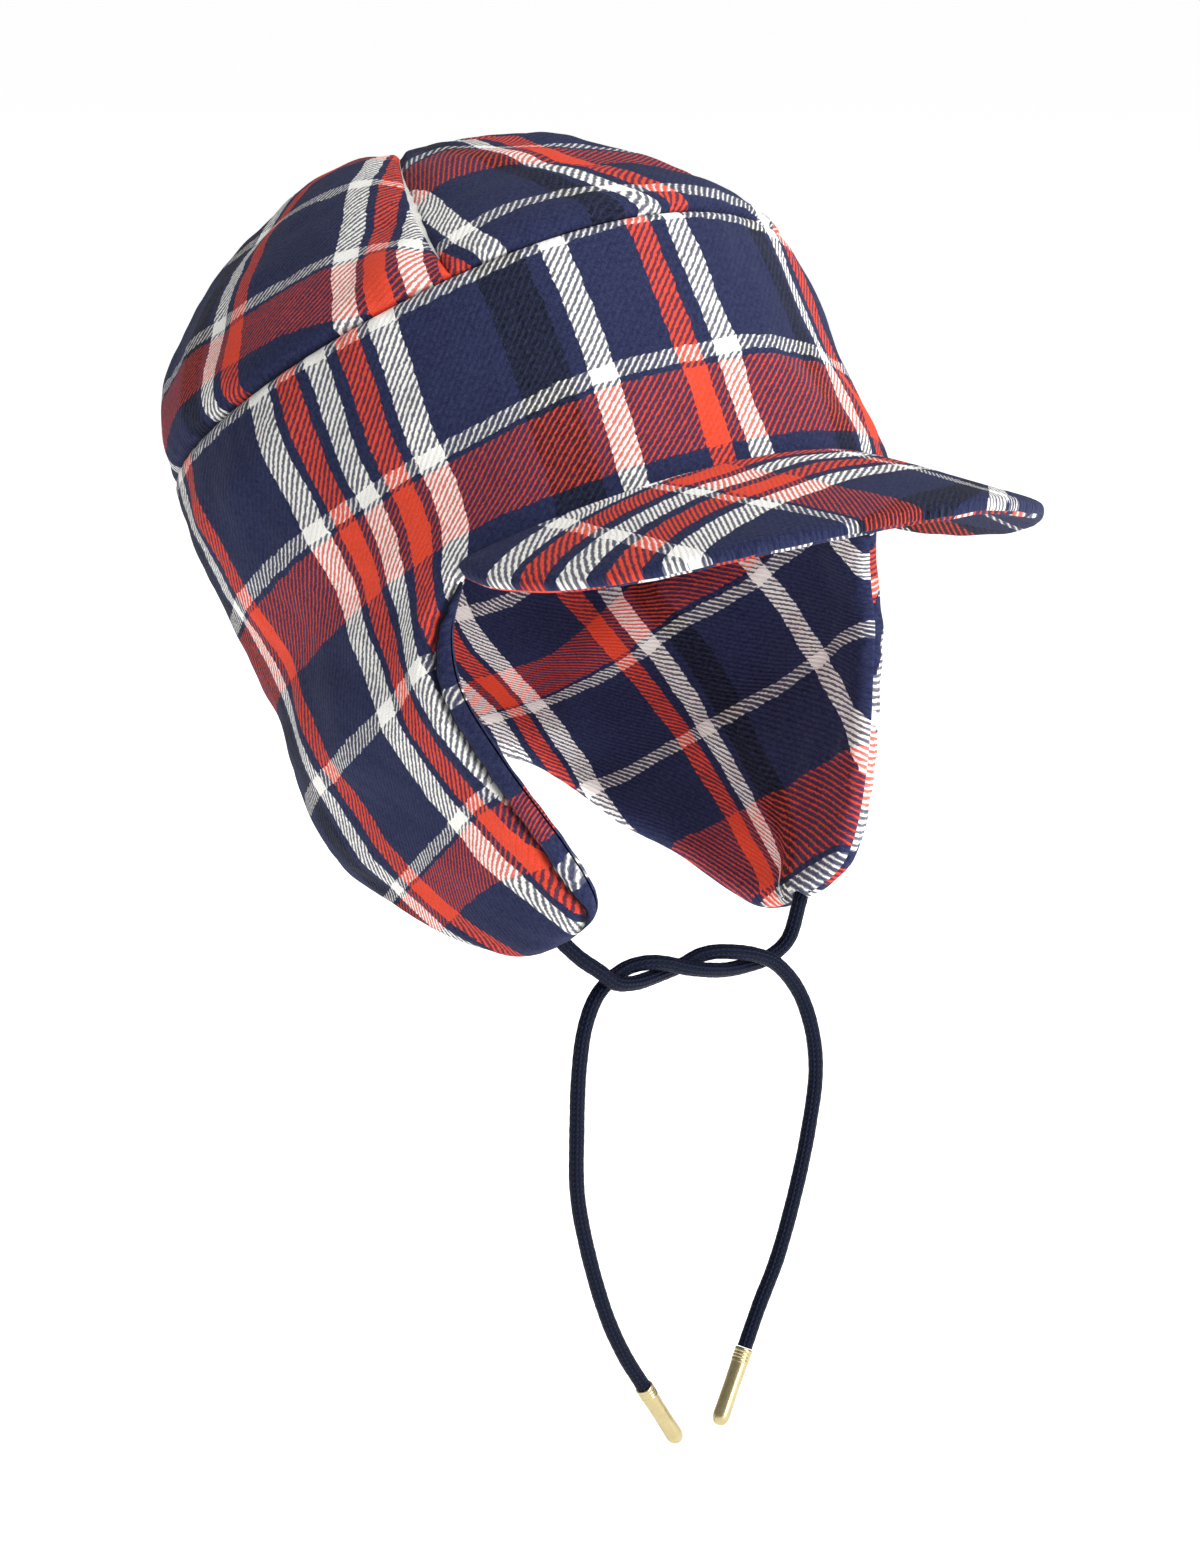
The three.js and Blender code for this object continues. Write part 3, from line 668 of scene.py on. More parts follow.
def flannel(name, twill=1, painted_light_gain=1.0, edged=False, stops=WARP):
    """Brushed twill flannel in the plaid. The map holds the place on the cloth in units of 100 mm."""
    k = Nodes(name)
    uvn = k.new("ShaderNodeUVMap", uv_map="cloth")
    sc = k.new("ShaderNodeVectorMath", operation="SCALE")
    sc.inputs["Scale"].default_value = 100
    if edged:  # past the seam at the flap's edge the cloth is the lining's
        uv2, uv3 = k.new("ShaderNodeUVMap", uv_map="lining_side"), k.new("ShaderNodeUVMap", uv_map="edge")
        sx = k.new("ShaderNodeSeparateXYZ")
        k.link(uv3.outputs[0], sx.inputs[0])
        pick = k.new("ShaderNodeMix", data_type="VECTOR")
        k.link(k.math("LESS_THAN", sx.outputs[0], 0.0), pick.inputs[0])
        k.link(uvn.outputs[0], pick.inputs[4])
        k.link(uv2.outputs[0], pick.inputs[5])
        k.link(pick.outputs[1], sc.inputs[0])
    else:
        k.link(uvn.outputs[0], sc.inputs[0])
    P = sc.outputs[0]
    n1 = k.noise(P, 0.16, 2)
    n2 = k.noise(P, 0.9, 2)
    sep = k.new("ShaderNodeSeparateXYZ")
    k.link(P, sep.inputs[0])
    U, V = sep.outputs[0], sep.outputs[1]
    wob1, wob2 = k.range(n1, 0.3, 0.7, -0.35, 0.35), k.range(n2, 0.3, 0.7, -0.28, 0.28)
    Uw = k.math("ADD", k.math("ADD", U, wob1), wob2)
    Vw = k.math("SUBTRACT", k.math("ADD", V, wob2), wob1)
    warp = k.ramp(k.math("FRACT", k.math("DIVIDE", Uw, 235.0)), [(p / 235, c) for p, c in stops])
    weft = k.ramp(k.math("FRACT", k.math("DIVIDE", Vw, 93.5)), [(p / 93.5, c) for p, c in WEFT])
    # 2/2 twill: a diagonal rib in which the warp yarn lies on top, then the weft yarn; in the groove between them the
    # darker of the two colours is painted as painted shade between the ribs
    diag = k.math("SUBTRACT", U, V) if twill > 0 else k.math("ADD", U, V)
    diag = k.math("ADD", diag, k.math("MULTIPLY", wob2, 1.1))
    rib = k.math("SINE", k.math("MULTIPLY", diag, 2 * math.pi / TWILL))
    rib01 = k.range(rib, -1, 1, 0, 1)
    nap = k.noise(P, 1.5, 3, 0.7)
    edge = k.math("ADD", rib01, k.range(nap, 0.25, 0.75, -0.16, 0.16))
    over = k.range(edge, 0.40, 0.68, 0.02, 0.97, True)
    under = k.range(edge, 0.0, 0.30, 0.80, 0.02, True)
    dark = k.mix(0.22, k.mix(1.0, weft, warp, "DARKEN"), k.mix(1.0, weft, warp, "LIGHTEN"))
    col = k.mix(over, k.mix(under, dark, weft), warp)
    # brushed nap: the two yarns blend a little and fibre ends are lighter; between the ribs the colour is darkened as
    # painted shade
    both = k.mix(0.5, weft, warp)
    col = k.mix(k.range(nap, 0.35, 0.75, 0.02, 0.16), col, both)
    grain = k.range(k.noise(P, 0.8, 3, 0.8), 0.32, 0.68, 0.0, 1.0)
    col = k.mix(grain, col, (0.020, 0.024, 0.044, 1), "ADD")
    # painted shade: a darker line along the groove between the twill ribs
    groove = k.range(k.math("ABSOLUTE", k.math("SUBTRACT", edge, 0.34)), 0.0, 0.3, 0.86, 1.02)
    fib = k.noise(P, 3.2, 3, 0.75)
    # painted light: this brightness range is scaled by the gain passed in, which makes the lining lighter to stand in
    # for light reaching the inside
    val = k.range(fib, 0.28, 0.72, 0.68 * painted_light_gain, 1.26 * painted_light_gain)
    big = k.noise(P, 0.035, 2)
    val = k.math("MULTIPLY", k.math("MULTIPLY", val, groove), k.range(big, 0.3, 0.7, 0.95, 1.05))
    if edged:
        # painted shade: the cloth darkens to a quarter within 1.5 mm of the seam line, in the seam's furrow
        to = k.math("MULTIPLY", k.math("ABSOLUTE", sx.outputs[0]), 100.0)
        val = k.math("MULTIPLY", val, k.range(to, 0.2, 1.5, 0.25, 1.0, True))
    mul = k.new("ShaderNodeVectorMath", operation="SCALE")
    k.link(col, mul.inputs[0])
    k.link(val, mul.inputs["Scale"])
    col = mul.outputs[0]
    k.link(col, k.b.inputs["Base Color"])
    ht = k.math("ADD", k.math("MULTIPLY", rib01, 0.30), k.math("ADD", k.math("MULTIPLY", nap, 0.55), k.math("MULTIPLY", fib, 0.35)))
    bump = k.new("ShaderNodeBump")
    bump.inputs["Strength"].default_value = 0.8
    bump.inputs["Distance"].default_value = 0.0005
    k.link(ht, bump.inputs["Height"])
    k.link(bump.outputs[0], k.b.inputs["Normal"])
    k.b.inputs["Roughness"].default_value = 0.93
    k.b.inputs["Specular IOR Level"].default_value = 0.08
    k.b.inputs["Sheen Weight"].default_value = 0.06
    k.b.inputs["Sheen Roughness"].default_value = 0.4
    return k.m


def coords(k, scale):
    tc = k.new("ShaderNodeTexCoord")
    sc = k.new("ShaderNodeVectorMath", operation="SCALE")
    sc.inputs["Scale"].default_value = scale
    k.link(tc.outputs["Object"], sc.inputs[0])
    return sc.outputs[0]


def felt(name, c1, c2, scale, rough=0.95, bump_d=0.0004):
    k = Nodes(name)
    P = coords(k, 1000)
    f = k.noise(P, scale, 4, 0.7)
    k.link(k.ramp(f, [(0.3, c1), (0.7, c2)], "LINEAR"), k.b.inputs["Base Color"])
    bump = k.new("ShaderNodeBump")
    bump.inputs["Strength"].default_value = 0.6
    bump.inputs["Distance"].default_value = bump_d
    k.link(f, bump.inputs["Height"])
    k.link(bump.outputs[0], k.b.inputs["Normal"])
    k.b.inputs["Roughness"].default_value = rough
    return k.m


def braid(name):
    """Round braided cord: u runs round it (0..1), v along it in mm / 100."""
    k = Nodes(name)
    uvn = k.new("ShaderNodeUVMap", uv_map="cloth")
    sep = k.new("ShaderNodeSeparateXYZ")
    k.link(uvn.outputs[0], sep.inputs[0])
    ang = k.math("MULTIPLY", sep.outputs[0], 100.0 * 2 * math.pi)      # once round
    lin = k.math("MULTIPLY", sep.outputs[1], 100.0)                    # mm
    w = k.math("MULTIPLY", lin, 2 * math.pi / 1.55)
    step = k.math("SINE", w)
    rib = k.math("SINE", k.math("ADD", k.math("MULTIPLY", ang, 11.0), k.math("MULTIPLY", step, 0.7)))
    hgt = k.math("ADD", k.math("MULTIPLY", rib, 0.72), k.math("MULTIPLY", step, 0.28))     # ribs run along the cord
    tc = k.new("ShaderNodeTexCoord")
    sc = k.new("ShaderNodeVectorMath", operation="SCALE")
    sc.inputs["Scale"].default_value = 1000
    k.link(tc.outputs["Object"], sc.inputs[0])
    fib = k.noise(sc.outputs[0], 2.4, 3, 0.7)
    tot = k.math("ADD", k.range(hgt, -0.4, 1, 0, 1), k.math("MULTIPLY", fib, 0.35))
    # painted shade: the colour follows the braid's height and fibre noise, darkest in the grooves between the ribs and
    # lighter on their crests
    col = k.ramp(k.math("MULTIPLY", tot, 0.8), [(0.0, srgb(2, 5, 14)), (0.55, srgb(6, 13, 35)), (1.0, srgb(21, 35, 72))], "LINEAR")
    k.link(col, k.b.inputs["Base Color"])
    bump = k.new("ShaderNodeBump")
    bump.inputs["Strength"].default_value = 0.8
    bump.inputs["Distance"].default_value = 0.0004
    k.link(tot, bump.inputs["Height"])
    k.link(bump.outputs[0], k.b.inputs["Normal"])
    k.b.inputs["Roughness"].default_value = 0.55
    k.b.inputs["Specular IOR Level"].default_value = 0.12
    k.b.inputs["Sheen Weight"].default_value = 0.0
    return k.m


def brass(name):
    k = Nodes(name)
    P = coords(k, 1000)
    st = k.new("ShaderNodeVectorMath", operation="MULTIPLY")
    st.inputs[1].default_value = (1, 1, 0.16)
    k.link(P, st.inputs[0])
    f = k.noise(st.outputs[0], 2.2, 3, 0.6)
    g = k.noise(P, 0.25, 2, 0.5)
    k.link(k.ramp(k.math("ADD", k.math("MULTIPLY", f, 0.6), k.math("MULTIPLY", g, 0.4)),
                  [(0.2, srgb(182, 167, 120)), (0.8, srgb(208, 195, 152))], "LINEAR"), k.b.inputs["Base Color"])
    k.link(k.range(f, 0.3, 0.7, 0.26, 0.34), k.b.inputs["Roughness"])
    bump = k.new("ShaderNodeBump")
    bump.inputs["Strength"].default_value = 0.15
    bump.inputs["Distance"].default_value = 0.0001
    k.link(f, bump.inputs["Height"])
    k.link(bump.outputs[0], k.b.inputs["Normal"])
    k.b.inputs["Metallic"].default_value = 1.0
    return k.m


M_OUT = flannel("flannel_outer")
M_EDGE = flannel("flannel_outer_edge", edged=True)
# painted light: the lining is made 1.42 times brighter than the outer cloth, standing in for the light inside the hat
M_LIN = flannel("flannel_lining", -1, 1.42, stops=[(p, NAVY if p == 216.75 else c) for p, c in WARP])
M_WAD = felt("wadding_fibre", srgb(222, 220, 212), srgb(248, 247, 242), 1.3)
M_BOARD = felt("visor_board_plastic", srgb(226, 224, 216), srgb(240, 238, 232), 0.6, 0.5, 0.0001)
M_THREAD = felt("thread_navy", srgb(20, 24, 46), srgb(42, 48, 80), 3.0, 0.8)
M_CORD, M_BRASS = braid("cord_braid"), brass("cord_tip_metal")


def dress(o, mat, body=None, nodes=()):
    o.data.materials.clear()
    o.data.materials.append(mat)
    if body:
        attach(o, body)
    if nodes:
        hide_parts(*nodes)
    return o


# ---- cords -------------------------------------------------------------------------------------------
CORD_PLANE_Y, CORD_D, AGLET_R, AGLET_L = -44.7, 4.2, 2.55, 23
CORDS = {
    "right": [[-39.6, -89.3, -1.4], [-33.6, -93.6, -2.5], [-28.1, -97.5, -2.4], [-20.8, -98.9, -1.5], [-12.8, -99.1, 0.6], [-5.8, -98.7, 2.1], [1.6, -97.6, 2.5], [6.7, -96.0, 2.1], [11.1, -95.3, 0.7], [16.8, -95.8, -1.3], [24.3, -97.6, -2.5], [32.0, -101.4, -2.5], [41.0, -110.6, -2.0], [45.8, -122.2, -2.4], [46.9, -134.4, -3.0], [43.5, -150.4, -3.8], [38.3, -167.3, -4.2], [31.3, -185.7, -4.2], [24.3, -198.5, -4.2], [19.0, -209.3, -4.2]],
    "left": [[40.3, -95.7, 1.4], [36.6, -99.3, 2.4], [31.0, -101.0, 2.5], [23.7, -101.3, 1.6], [14.5, -100.7, -0.3], [4.7, -98.9, -2.1], [-2.9, -97.0, -2.5], [-8.9, -95.1, -1.7], [-14.2, -94.4, 0.0], [-19.3, -95.3, 2.1], [-25.0, -97.7, 2.5], [-30.6, -101.7, 2.3], [-34.7, -109.1, 2.2], [-36.5, -121.2, 2.8], [-36.6, -140.0, 3.7], [-36.0, -156.3, 4.2], [-32.5, -172.6, 4.2], [-25.4, -193.2, 4.2], [-18.8, -205.9, 4.2], [-11.7, -216.2, 4.2]],
}


def catmull(pts, per=24):
    """Centripetal Catmull-Rom through the points, ends reflected."""
    p = np.asarray(pts, float)
    p = np.vstack([2 * p[0] - p[1], p, 2 * p[-1] - p[-2]])
    out = []
    for i in range(len(p) - 3):
        p0, p1, p2, p3 = p[i:i + 4]
        t0 = 0.0
        t1 = t0 + np.linalg.norm(p1 - p0) ** 0.5
        t2 = t1 + np.linalg.norm(p2 - p1) ** 0.5
        t3 = t2 + np.linalg.norm(p3 - p2) ** 0.5
        for t in np.linspace(t1, t2, per, endpoint=False):
            a1 = (t1 - t) / (t1 - t0) * p0 + (t - t0) / (t1 - t0) * p1
            a2 = (t2 - t) / (t2 - t1) * p1 + (t - t1) / (t2 - t1) * p2
            a3 = (t3 - t) / (t3 - t2) * p2 + (t - t2) / (t3 - t2) * p3
            b1 = (t2 - t) / (t2 - t0) * a1 + (t - t0) / (t2 - t0) * a2
            b2 = (t3 - t) / (t3 - t1) * a2 + (t - t1) / (t3 - t1) * a3
            out.append((t2 - t) / (t2 - t1) * b1 + (t - t1) / (t2 - t1) * b2)
    out.append(p[-2])
    out = np.array(out)
    s_ = np.r_[0, np.cumsum(np.linalg.norm(np.diff(out, axis=0), axis=1))]
    even = np.linspace(0, s_[-1], int(s_[-1] / 0.7))
    return np.stack([np.interp(even, s_, out[:, k]) for k in range(3)], 1)


def tube(name, path, radius, sides=28):
    """A round tube along a path (row frame, mm), with its map for the braid."""
    T = unit(np.gradient(path, axis=0))
    nrm_ = np.zeros_like(path)
    ref = unit(np.cross(T[0], [0.3, 1, 0.2]))
    for i in range(len(path)):
        ref = unit(ref - T[i] * (ref @ T[i]))
        nrm_[i] = ref
    bin_ = np.cross(T, nrm_)
    s_ = np.r_[0, np.cumsum(np.linalg.norm(np.diff(path, axis=0), axis=1))]
    A_ = np.linspace(0, 2 * np.pi, sides + 1)
    swell = 1 + 0.012 * np.sin(s_ * 1.9) + 0.01 * np.sin(s_ * 0.53 + 1)
    P = path[:, None] + radius * swell[:, None, None] * (nrm_[:, None] * np.cos(A_)[None, :, None] + bin_[:, None] * np.sin(A_)[None, :, None])
    F = grid_faces(len(path), sides + 1)
    uv = np.stack([np.broadcast_to(A_ / (2 * np.pi), (len(path), sides + 1)), np.broadcast_to(s_[:, None], (len(path), sides + 1))], -1)
    V = P[:, :-1].reshape(-1, 3) / 1000
    # weld the seam, keep the map per corner
    n1 = sides
    idx = (np.arange(len(path))[:, None] * n1 + (np.arange(sides + 1) % n1)[None]).reshape(-1)
    me = bpy.data.meshes.new(name)
    caps = [list(range(n1))[::-1], list((len(path) - 1) * n1 + np.arange(n1))]
    faces = [[int(idx[i]) for i in f] for f in F]
    me.from_pydata(V.tolist(), [], faces + [[int(i) for i in c] for c in caps])
    layer = me.uv_layers.new(name="cloth")
    uvf = uv.reshape(-1, 2)[F.reshape(-1)] / 100
    full = np.zeros((len(me.loops), 2), np.float32)
    full[:len(uvf)] = uvf
    layer.data.foreach_set("uv", full.ravel())
    me.polygons.foreach_set("use_smooth", [True] * len(me.polygons))
    me.update()
    o = bpy.data.objects.new(name, me)
    bpy.context.scene.collection.objects.link(o)
    return o, s_[-1]


def lathe(name, prof, origin, axis, n=56):
    """A turned piece: profile of (radius, height) from origin along axis, row frame, mm."""
    ax = unit(np.asarray(axis, float))
    x_ = unit(np.cross(ax, [0.2, 1, 0.1]))
    y_ = np.cross(ax, x_)
    A_ = np.linspace(0, 2 * np.pi, n, endpoint=False)
    rings = [origin + ax * hh + r_ * (np.cos(A_)[:, None] * x_ + np.sin(A_)[:, None] * y_) for r_, hh in prof]
    V = np.concatenate(rings) / 1000
    F = []
    for i in range(len(prof) - 1):
        for j in range(n):
            F.append([i * n + j, i * n + (j + 1) % n, (i + 1) * n + (j + 1) % n, (i + 1) * n + j])
    F = [list(range(n))[::-1]] + F + [list((len(prof) - 1) * n + np.arange(n))]
    me = bpy.data.meshes.new(name)
    me.from_pydata(V.tolist(), [], [[int(q_) for q_ in f] for f in F])
    me.polygons.foreach_set("use_smooth", [True] * len(me.polygons))
    me.update()
    o = bpy.data.objects.new(name, me)
    bpy.context.scene.collection.objects.link(o)
    return o


def on_band(th, z, depth):
    th, z = np.array([th]), np.array([float(z)])
    return (S(th, z) - normalS(th, z) * depth)[0]


for side, sg in (("right", -1), ("left", 1)):
    pts = [np.array([x, CORD_PLANE_Y + y, z]) for x, z, y in CORDS[side]]
    ex = on_band(sg * rad(92), -97, 2.95)
    dn = unit(ex - on_band(sg * rad(92), -95, 2.95))
    exit_pt = world(ex + dn * 0.8) * 1000
    path = catmull([exit_pt] + pts)
    # the cord starts inside the hem
    inner = [world(ex - dn * d_) * 1000 for d_ in (3.2, 2.4, 1.6, 0.8, 0.0)]
    path_in = np.vstack([inner, path])
    cord_o, length = tube(f"{side}_tie_cord", path_in, CORD_D / 2)
    dress(cord_o, M_CORD, f"{side}_cord", [f"{side}_cord"])
    end, dire = path[-1], unit(path[-1] - path[-4])
    R = AGLET_R
    prof = [(1.2, 0.35), (R - 0.32, 0.3), (R - 0.1, 0.42), (R, 0.75)]
    for c_ in (1.6, 2.5, 3.4):                      # crimped rings where the tip grips the cord
        prof += [(R, c_ - 0.28), (R - 0.14, c_ - 0.1), (R - 0.14, c_ + 0.1), (R, c_ + 0.28)]
    prof += [(R, 4.2), (R - 0.12, 4.5)]
    prof += [(R - 0.12 - 0.1 * math.sin(t_ * math.pi), 4.6 + 15.0 * t_) for t_ in np.linspace(0, 1, 12)]
    for t_ in np.linspace(0, math.pi / 2, 12)[1:-1]:
        prof.append(((R - 0.12) * math.cos(t_) ** 0.75, 19.8 + 3.2 * math.sin(t_)))
    prof.append((0.35, 23.0))
    tip = lathe(f"{side}_cord_tip", prof, end, dire)
    dress(tip, M_BRASS, f"{side}_cord", [f"{side}_aglet"])
    for piece in (cord_o, tip):
        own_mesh(piece)
    print("cord", side, round(length, 1), "mm")

# ---- outer cloth and lining --------------------------------------------------------------------------
outer = split_band(OUT, UV_OUT, "outer_cloth", False, [("lining_side", UV_EDGE.reshape(-1, 2)), ("edge", EDGE.reshape(-1, 2))])
lining = split_band(LIN, UV_LIN, "lining_cloth", True)
dress(outer["root"], M_EDGE, "root", ["band_outer"])
dress(lining["root"], M_LIN, "root", ["band_lining"])
for side in ("right", "left"):
    for part, mat, slot_, node in ((outer, M_EDGE, "flannel_outer", "outer"), (lining, M_LIN, "flannel_lining", "lining")):
        o = part[side]
        dress(o, mat, None, [f"{side}_flap_{node}"])
        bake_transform(o)

# ---- crown --------------------------------------------------------------------------------------------
SEAM_F, SEAM_B = 45.5, 130.0
SEAMS = [-SEAM_B, -SEAM_F, SEAM_F, SEAM_B]


def crown_cloth(deg, d_up, depth=0.0, inner=False):
    """Points of the crown cloth at angles (1D, degrees) and lengths up from the crown seam (columns x rows)."""
    th = rad(deg)
    t_fine = np.linspace(0, 1, 500) ** 1.25
    PF = crown(th[:, None] + 0 * t_fine[None], np.broadcast_to(t_fine, (len(th), 500)))
    sl = np.concatenate([np.zeros((len(th), 1)), np.cumsum(np.linalg.norm(np.diff(PF, axis=1), axis=2), axis=1)], 1)
    tot = sl[:, -1]
    n_ = len(d_up)
    T_ = np.zeros((len(th), n_))
    D_ = np.zeros((len(th), n_))
    for i in range(len(th)):
        dist = np.where(d_up <= 7, d_up, 7 + (tot[i] - 7) * (d_up - 7) / (d_up[-1] - 7)) if not inner else d_up / d_up[-1] * tot[i]
        D_[i] = dist
        T_[i] = np.interp(dist, sl[i], t_fine)
    # the front seams sweep back a little as they rise
    ab_ = np.abs((deg + 180) % 360 - 180)
    shift = (1.4 - 3.5 * np.exp(-D_ / 22.0)) * np.clip(1 - np.abs(ab_ - SEAM_F) / 40, 0, 1)[:, None] * np.sign(np.sin(th))[:, None]
    TH_ = th[:, None] + rad(shift) * (0 if inner else 1)
    BASE_ = np.broadcast_to(deg[:, None], T_.shape)
    P = crown(TH_, T_)
    N = normalC(TH_, T_)
    rd = np.stack([np.sin(TH_), -np.cos(TH_), 0 * TH_], -1)
    blend_ = np.exp(-(D_ / 5.0) ** 2)[..., None]
    N = unit(N * (1 - blend_) + rd * blend_)
    rho = np.hypot(P[..., 0], P[..., 1] - 9)
    gap = np.abs((BASE_[..., None] - np.array(SEAMS) + 180) % 360 - 180).min(-1)
    d_seam = rad(gap) * rho
    to_top = tot[:, None] - D_
    P0 = P.copy()
    if inner:
        return P - N * depth, P0, D_, d_seam
    sides = step(np.abs((TH_ * 180 / np.pi + 180) % 360 - 180), 55, 95)
    bulge = (1.0 + 1.5 * sides) * (D_ / 9.0) * np.exp(1 - D_ / 9.0) * step(d_seam, 0, 14)
    apex = np.exp(-(to_top / 16.0) ** 2)
    valley = (0.9 + 1.6 * apex) * np.exp(-(d_seam / 7.5) ** 2) * step(D_, 0, 9)
    inset = rolled(d_seam, 2.6, 2.3) * step(D_, 0, 2.5)
    free_ = step(D_, 2, 12) * step(d_seam, 1, 10)
    puck = 0.30 * np.sin(D_ * 2 * np.pi / 8.0 + 2 * folds_wide(P)) * np.exp(-d_seam / 5.0) * step(d_seam, 0, 1.5) * step(D_, 2, 8)
    puck = puck + 0.30 * np.sin(arc(TH_) * 2 * np.pi / 8.5 + 2.1 * folds_wide(P) + 2) * np.exp(-D_ / 5.0) * step(D_, 0, 1.5)
    soft_ = free_ * (0.85 * folds_wide(P) + 0.7 * folds_mid(P) + 0.16 * folds_fine(P))
    front = step(np.cos(TH_), 0.35, 0.9)
    shoulder = -1.5 * front * np.exp(-((D_ - 36) / 22.0) ** 2)
    disp = bulge - valley - inset + puck + soft_ + shoulder
    P = P + N * disp[..., None] - rd * rolled(D_, 3.0, 2.6)[..., None]
    return P, P0, D_, d_seam


rows_up = np.r_[edge_a, np.linspace(edge_a[-1], 140, 92)[1:]]
near = np.array([0, 0.10, 0.28, 0.55, 0.95, 1.5, 2.2, 3.1])
for side, (lo, hi) in {"back": (SEAM_B, 360 - SEAM_B), "right": (-SEAM_B, -SEAM_F), "front": (-SEAM_F, SEAM_F), "left": (SEAM_F, SEAM_B)}.items():
    inner_deg = np.linspace(lo + 3.1, hi - 3.1, int((hi - lo) / 0.95))
    cols = np.r_[lo + near[:-1], inner_deg, (hi - near[:-1])[::-1]]
    P, P0, D_, ds = crown_cloth(cols, rows_up)
    uvp = panel_uv(side, P0)
    V = world(P.reshape(-1, 3))
    F = grid_faces(len(cols), len(rows_up))
    o = mesh_object(f"crown_{side}_cloth", V, F, uvp.reshape(-1, 2))
    dress(o, M_OUT, "root", [f"crown_{side}_panel"])

# lining of the crown, one dome from the same seams
cols = np.linspace(-180, 180, 145)
P, P0, D_, ds = crown_cloth(cols, np.linspace(0, 140, 70), THICK, True)
N = unit(P0 - P)
P = P + N * (0.8 * np.exp(-(ds / 3.0) ** 2) + 0.5 * folds_mid(P))[..., None]
uvc = np.stack([P[..., 0] * 1.25 + 60, P[..., 1] * 1.25 + 10], -1)
o = mesh_object("crown_lining_cloth", world(P.reshape(-1, 3)), grid_faces(len(cols), 70)[:, ::-1], uvc.reshape(-1, 2))
dress(o, M_LIN, "root", ["crown_lining"])


# ---- wadding: kept clear of every seam and of the folds -------------------------------------------------
def slab(name, A_, B_, body, nodes):
    """A closed sheet between two grids of points (columns x rows)."""
    nu, nv = A_.shape[:2]
    V = world(np.concatenate([A_.reshape(-1, 3), B_.reshape(-1, 3)]))
    F = grid_faces(nu, nv)
    n_ = nu * nv
    G = F[:, ::-1] + n_
    rim = [i * nv for i in range(nu)] + [(nu - 1) * nv + j for j in range(1, nv)] + [i * nv + nv - 1 for i in range(nu - 2, -1, -1)] + [j for j in range(nv - 2, 0, -1)]
    side_f = [[rim[(k + 1) % len(rim)], rim[k], rim[k] + n_, rim[(k + 1) % len(rim)] + n_] for k in range(len(rim))]
    o_ = mesh_object(name, V, np.vstack([F, G, np.array(side_f)]))
    dress(o_, M_WAD, body, nodes)
    return o_


def wad_pts(th, z, depth):
    return S(th, z) + normalS(th, z) * (side_shape(th, z) * step(z_top(th) - z, 0, 22) - depth)[..., None]


wd = rad(np.linspace(-179, 179, 180))
low = np.where(np.abs(np.degrees(wd)) < 66, z_visor(wd) + 5, 0)
for k_, t_ in enumerate(wd):
    g_ = abs(math.degrees(t_))
    if g_ >= 66:
        zz = -24.0 - 0.283 * S(np.array([t_]), np.array([-30.0]))[0, 1] + 16
        low[k_] = max(zz, np.interp(g_, HEM[:, 0], HEM[:, 1]) + 8)
v_ = np.linspace(0, 1, 26)
ZW = (z_top(wd) - 5)[:, None] + (low - z_top(wd) + 5)[:, None] * v_[None]
TW = np.broadcast_to(wd[:, None], ZW.shape)
slab("band_wadding_sheet", wad_pts(TW, ZW, 2.3), wad_pts(TW, ZW, 4.0), "root", ["band_wadding"])
for side, sg in (("right", -1), ("left", 1)):
    hh = np.linspace(60, 205, 60)
    tl, zl = hem_th(hh), hem_z(hh)
    tt = np.interp(hh, [60, 205], [82, 129])
    zt2 = np.array([-24.0 - 0.283 * S(np.array([rad(t_)]), np.array([-30.0]))[0, 1] - 16 for t_ in tt])
    f_ = np.linspace(0, 0.84, 24)
    ZF = zt2[:, None] + (zl - zt2)[:, None] * f_[None]
    TF = rad(sg * (tt[:, None] + (tl - tt)[:, None] * f_[None]))
    TF = TF - sg * rad(0.0)
    A_, B_ = wad_pts(TF, ZF, 2.4), wad_pts(TF, ZF, 4.0)
    if sg < 0:
        A_, B_ = A_[::-1], B_[::-1]
    slab(f"{side}_flap_wadding_sheet", A_, B_, f"{side}_flap", [f"{side}_flap_wadding"])
cols = np.linspace(-178, 178, 120)
P1, N1, _, _ = crown_cloth(cols, np.linspace(0, 140, 40), 2.6, True)
P2, _, _, _ = crown_cloth(cols, np.linspace(0, 140, 40), 4.2, True)
slab("crown_wadding_sheet", P1[:, 3:-4], P2[:, 3:-4], "root", ["crown_wadding"])

# ---- visor ----------------------------------------------------------------------------------------------
NT, HV = 190, 2.45
tau = 0.992 * np.sin(np.pi / 2 * np.linspace(-1, 1, NT) * 0.9) / math.sin(math.pi / 2 * 0.9)


def visor_normal(tau_, k_):
    t_ = np.clip(tau_, -0.93, 0.93)
    return unit(np.cross(visor(t_ + 0.02, k_) - visor(t_ - 0.02, k_), visor(t_, k_ + 0.1) - visor(t_, k_ - 0.1)))


len_v = np.maximum(0.6, np.linalg.norm(visor(tau, np.ones(NT)) - visor(tau, np.zeros(NT)), axis=1))


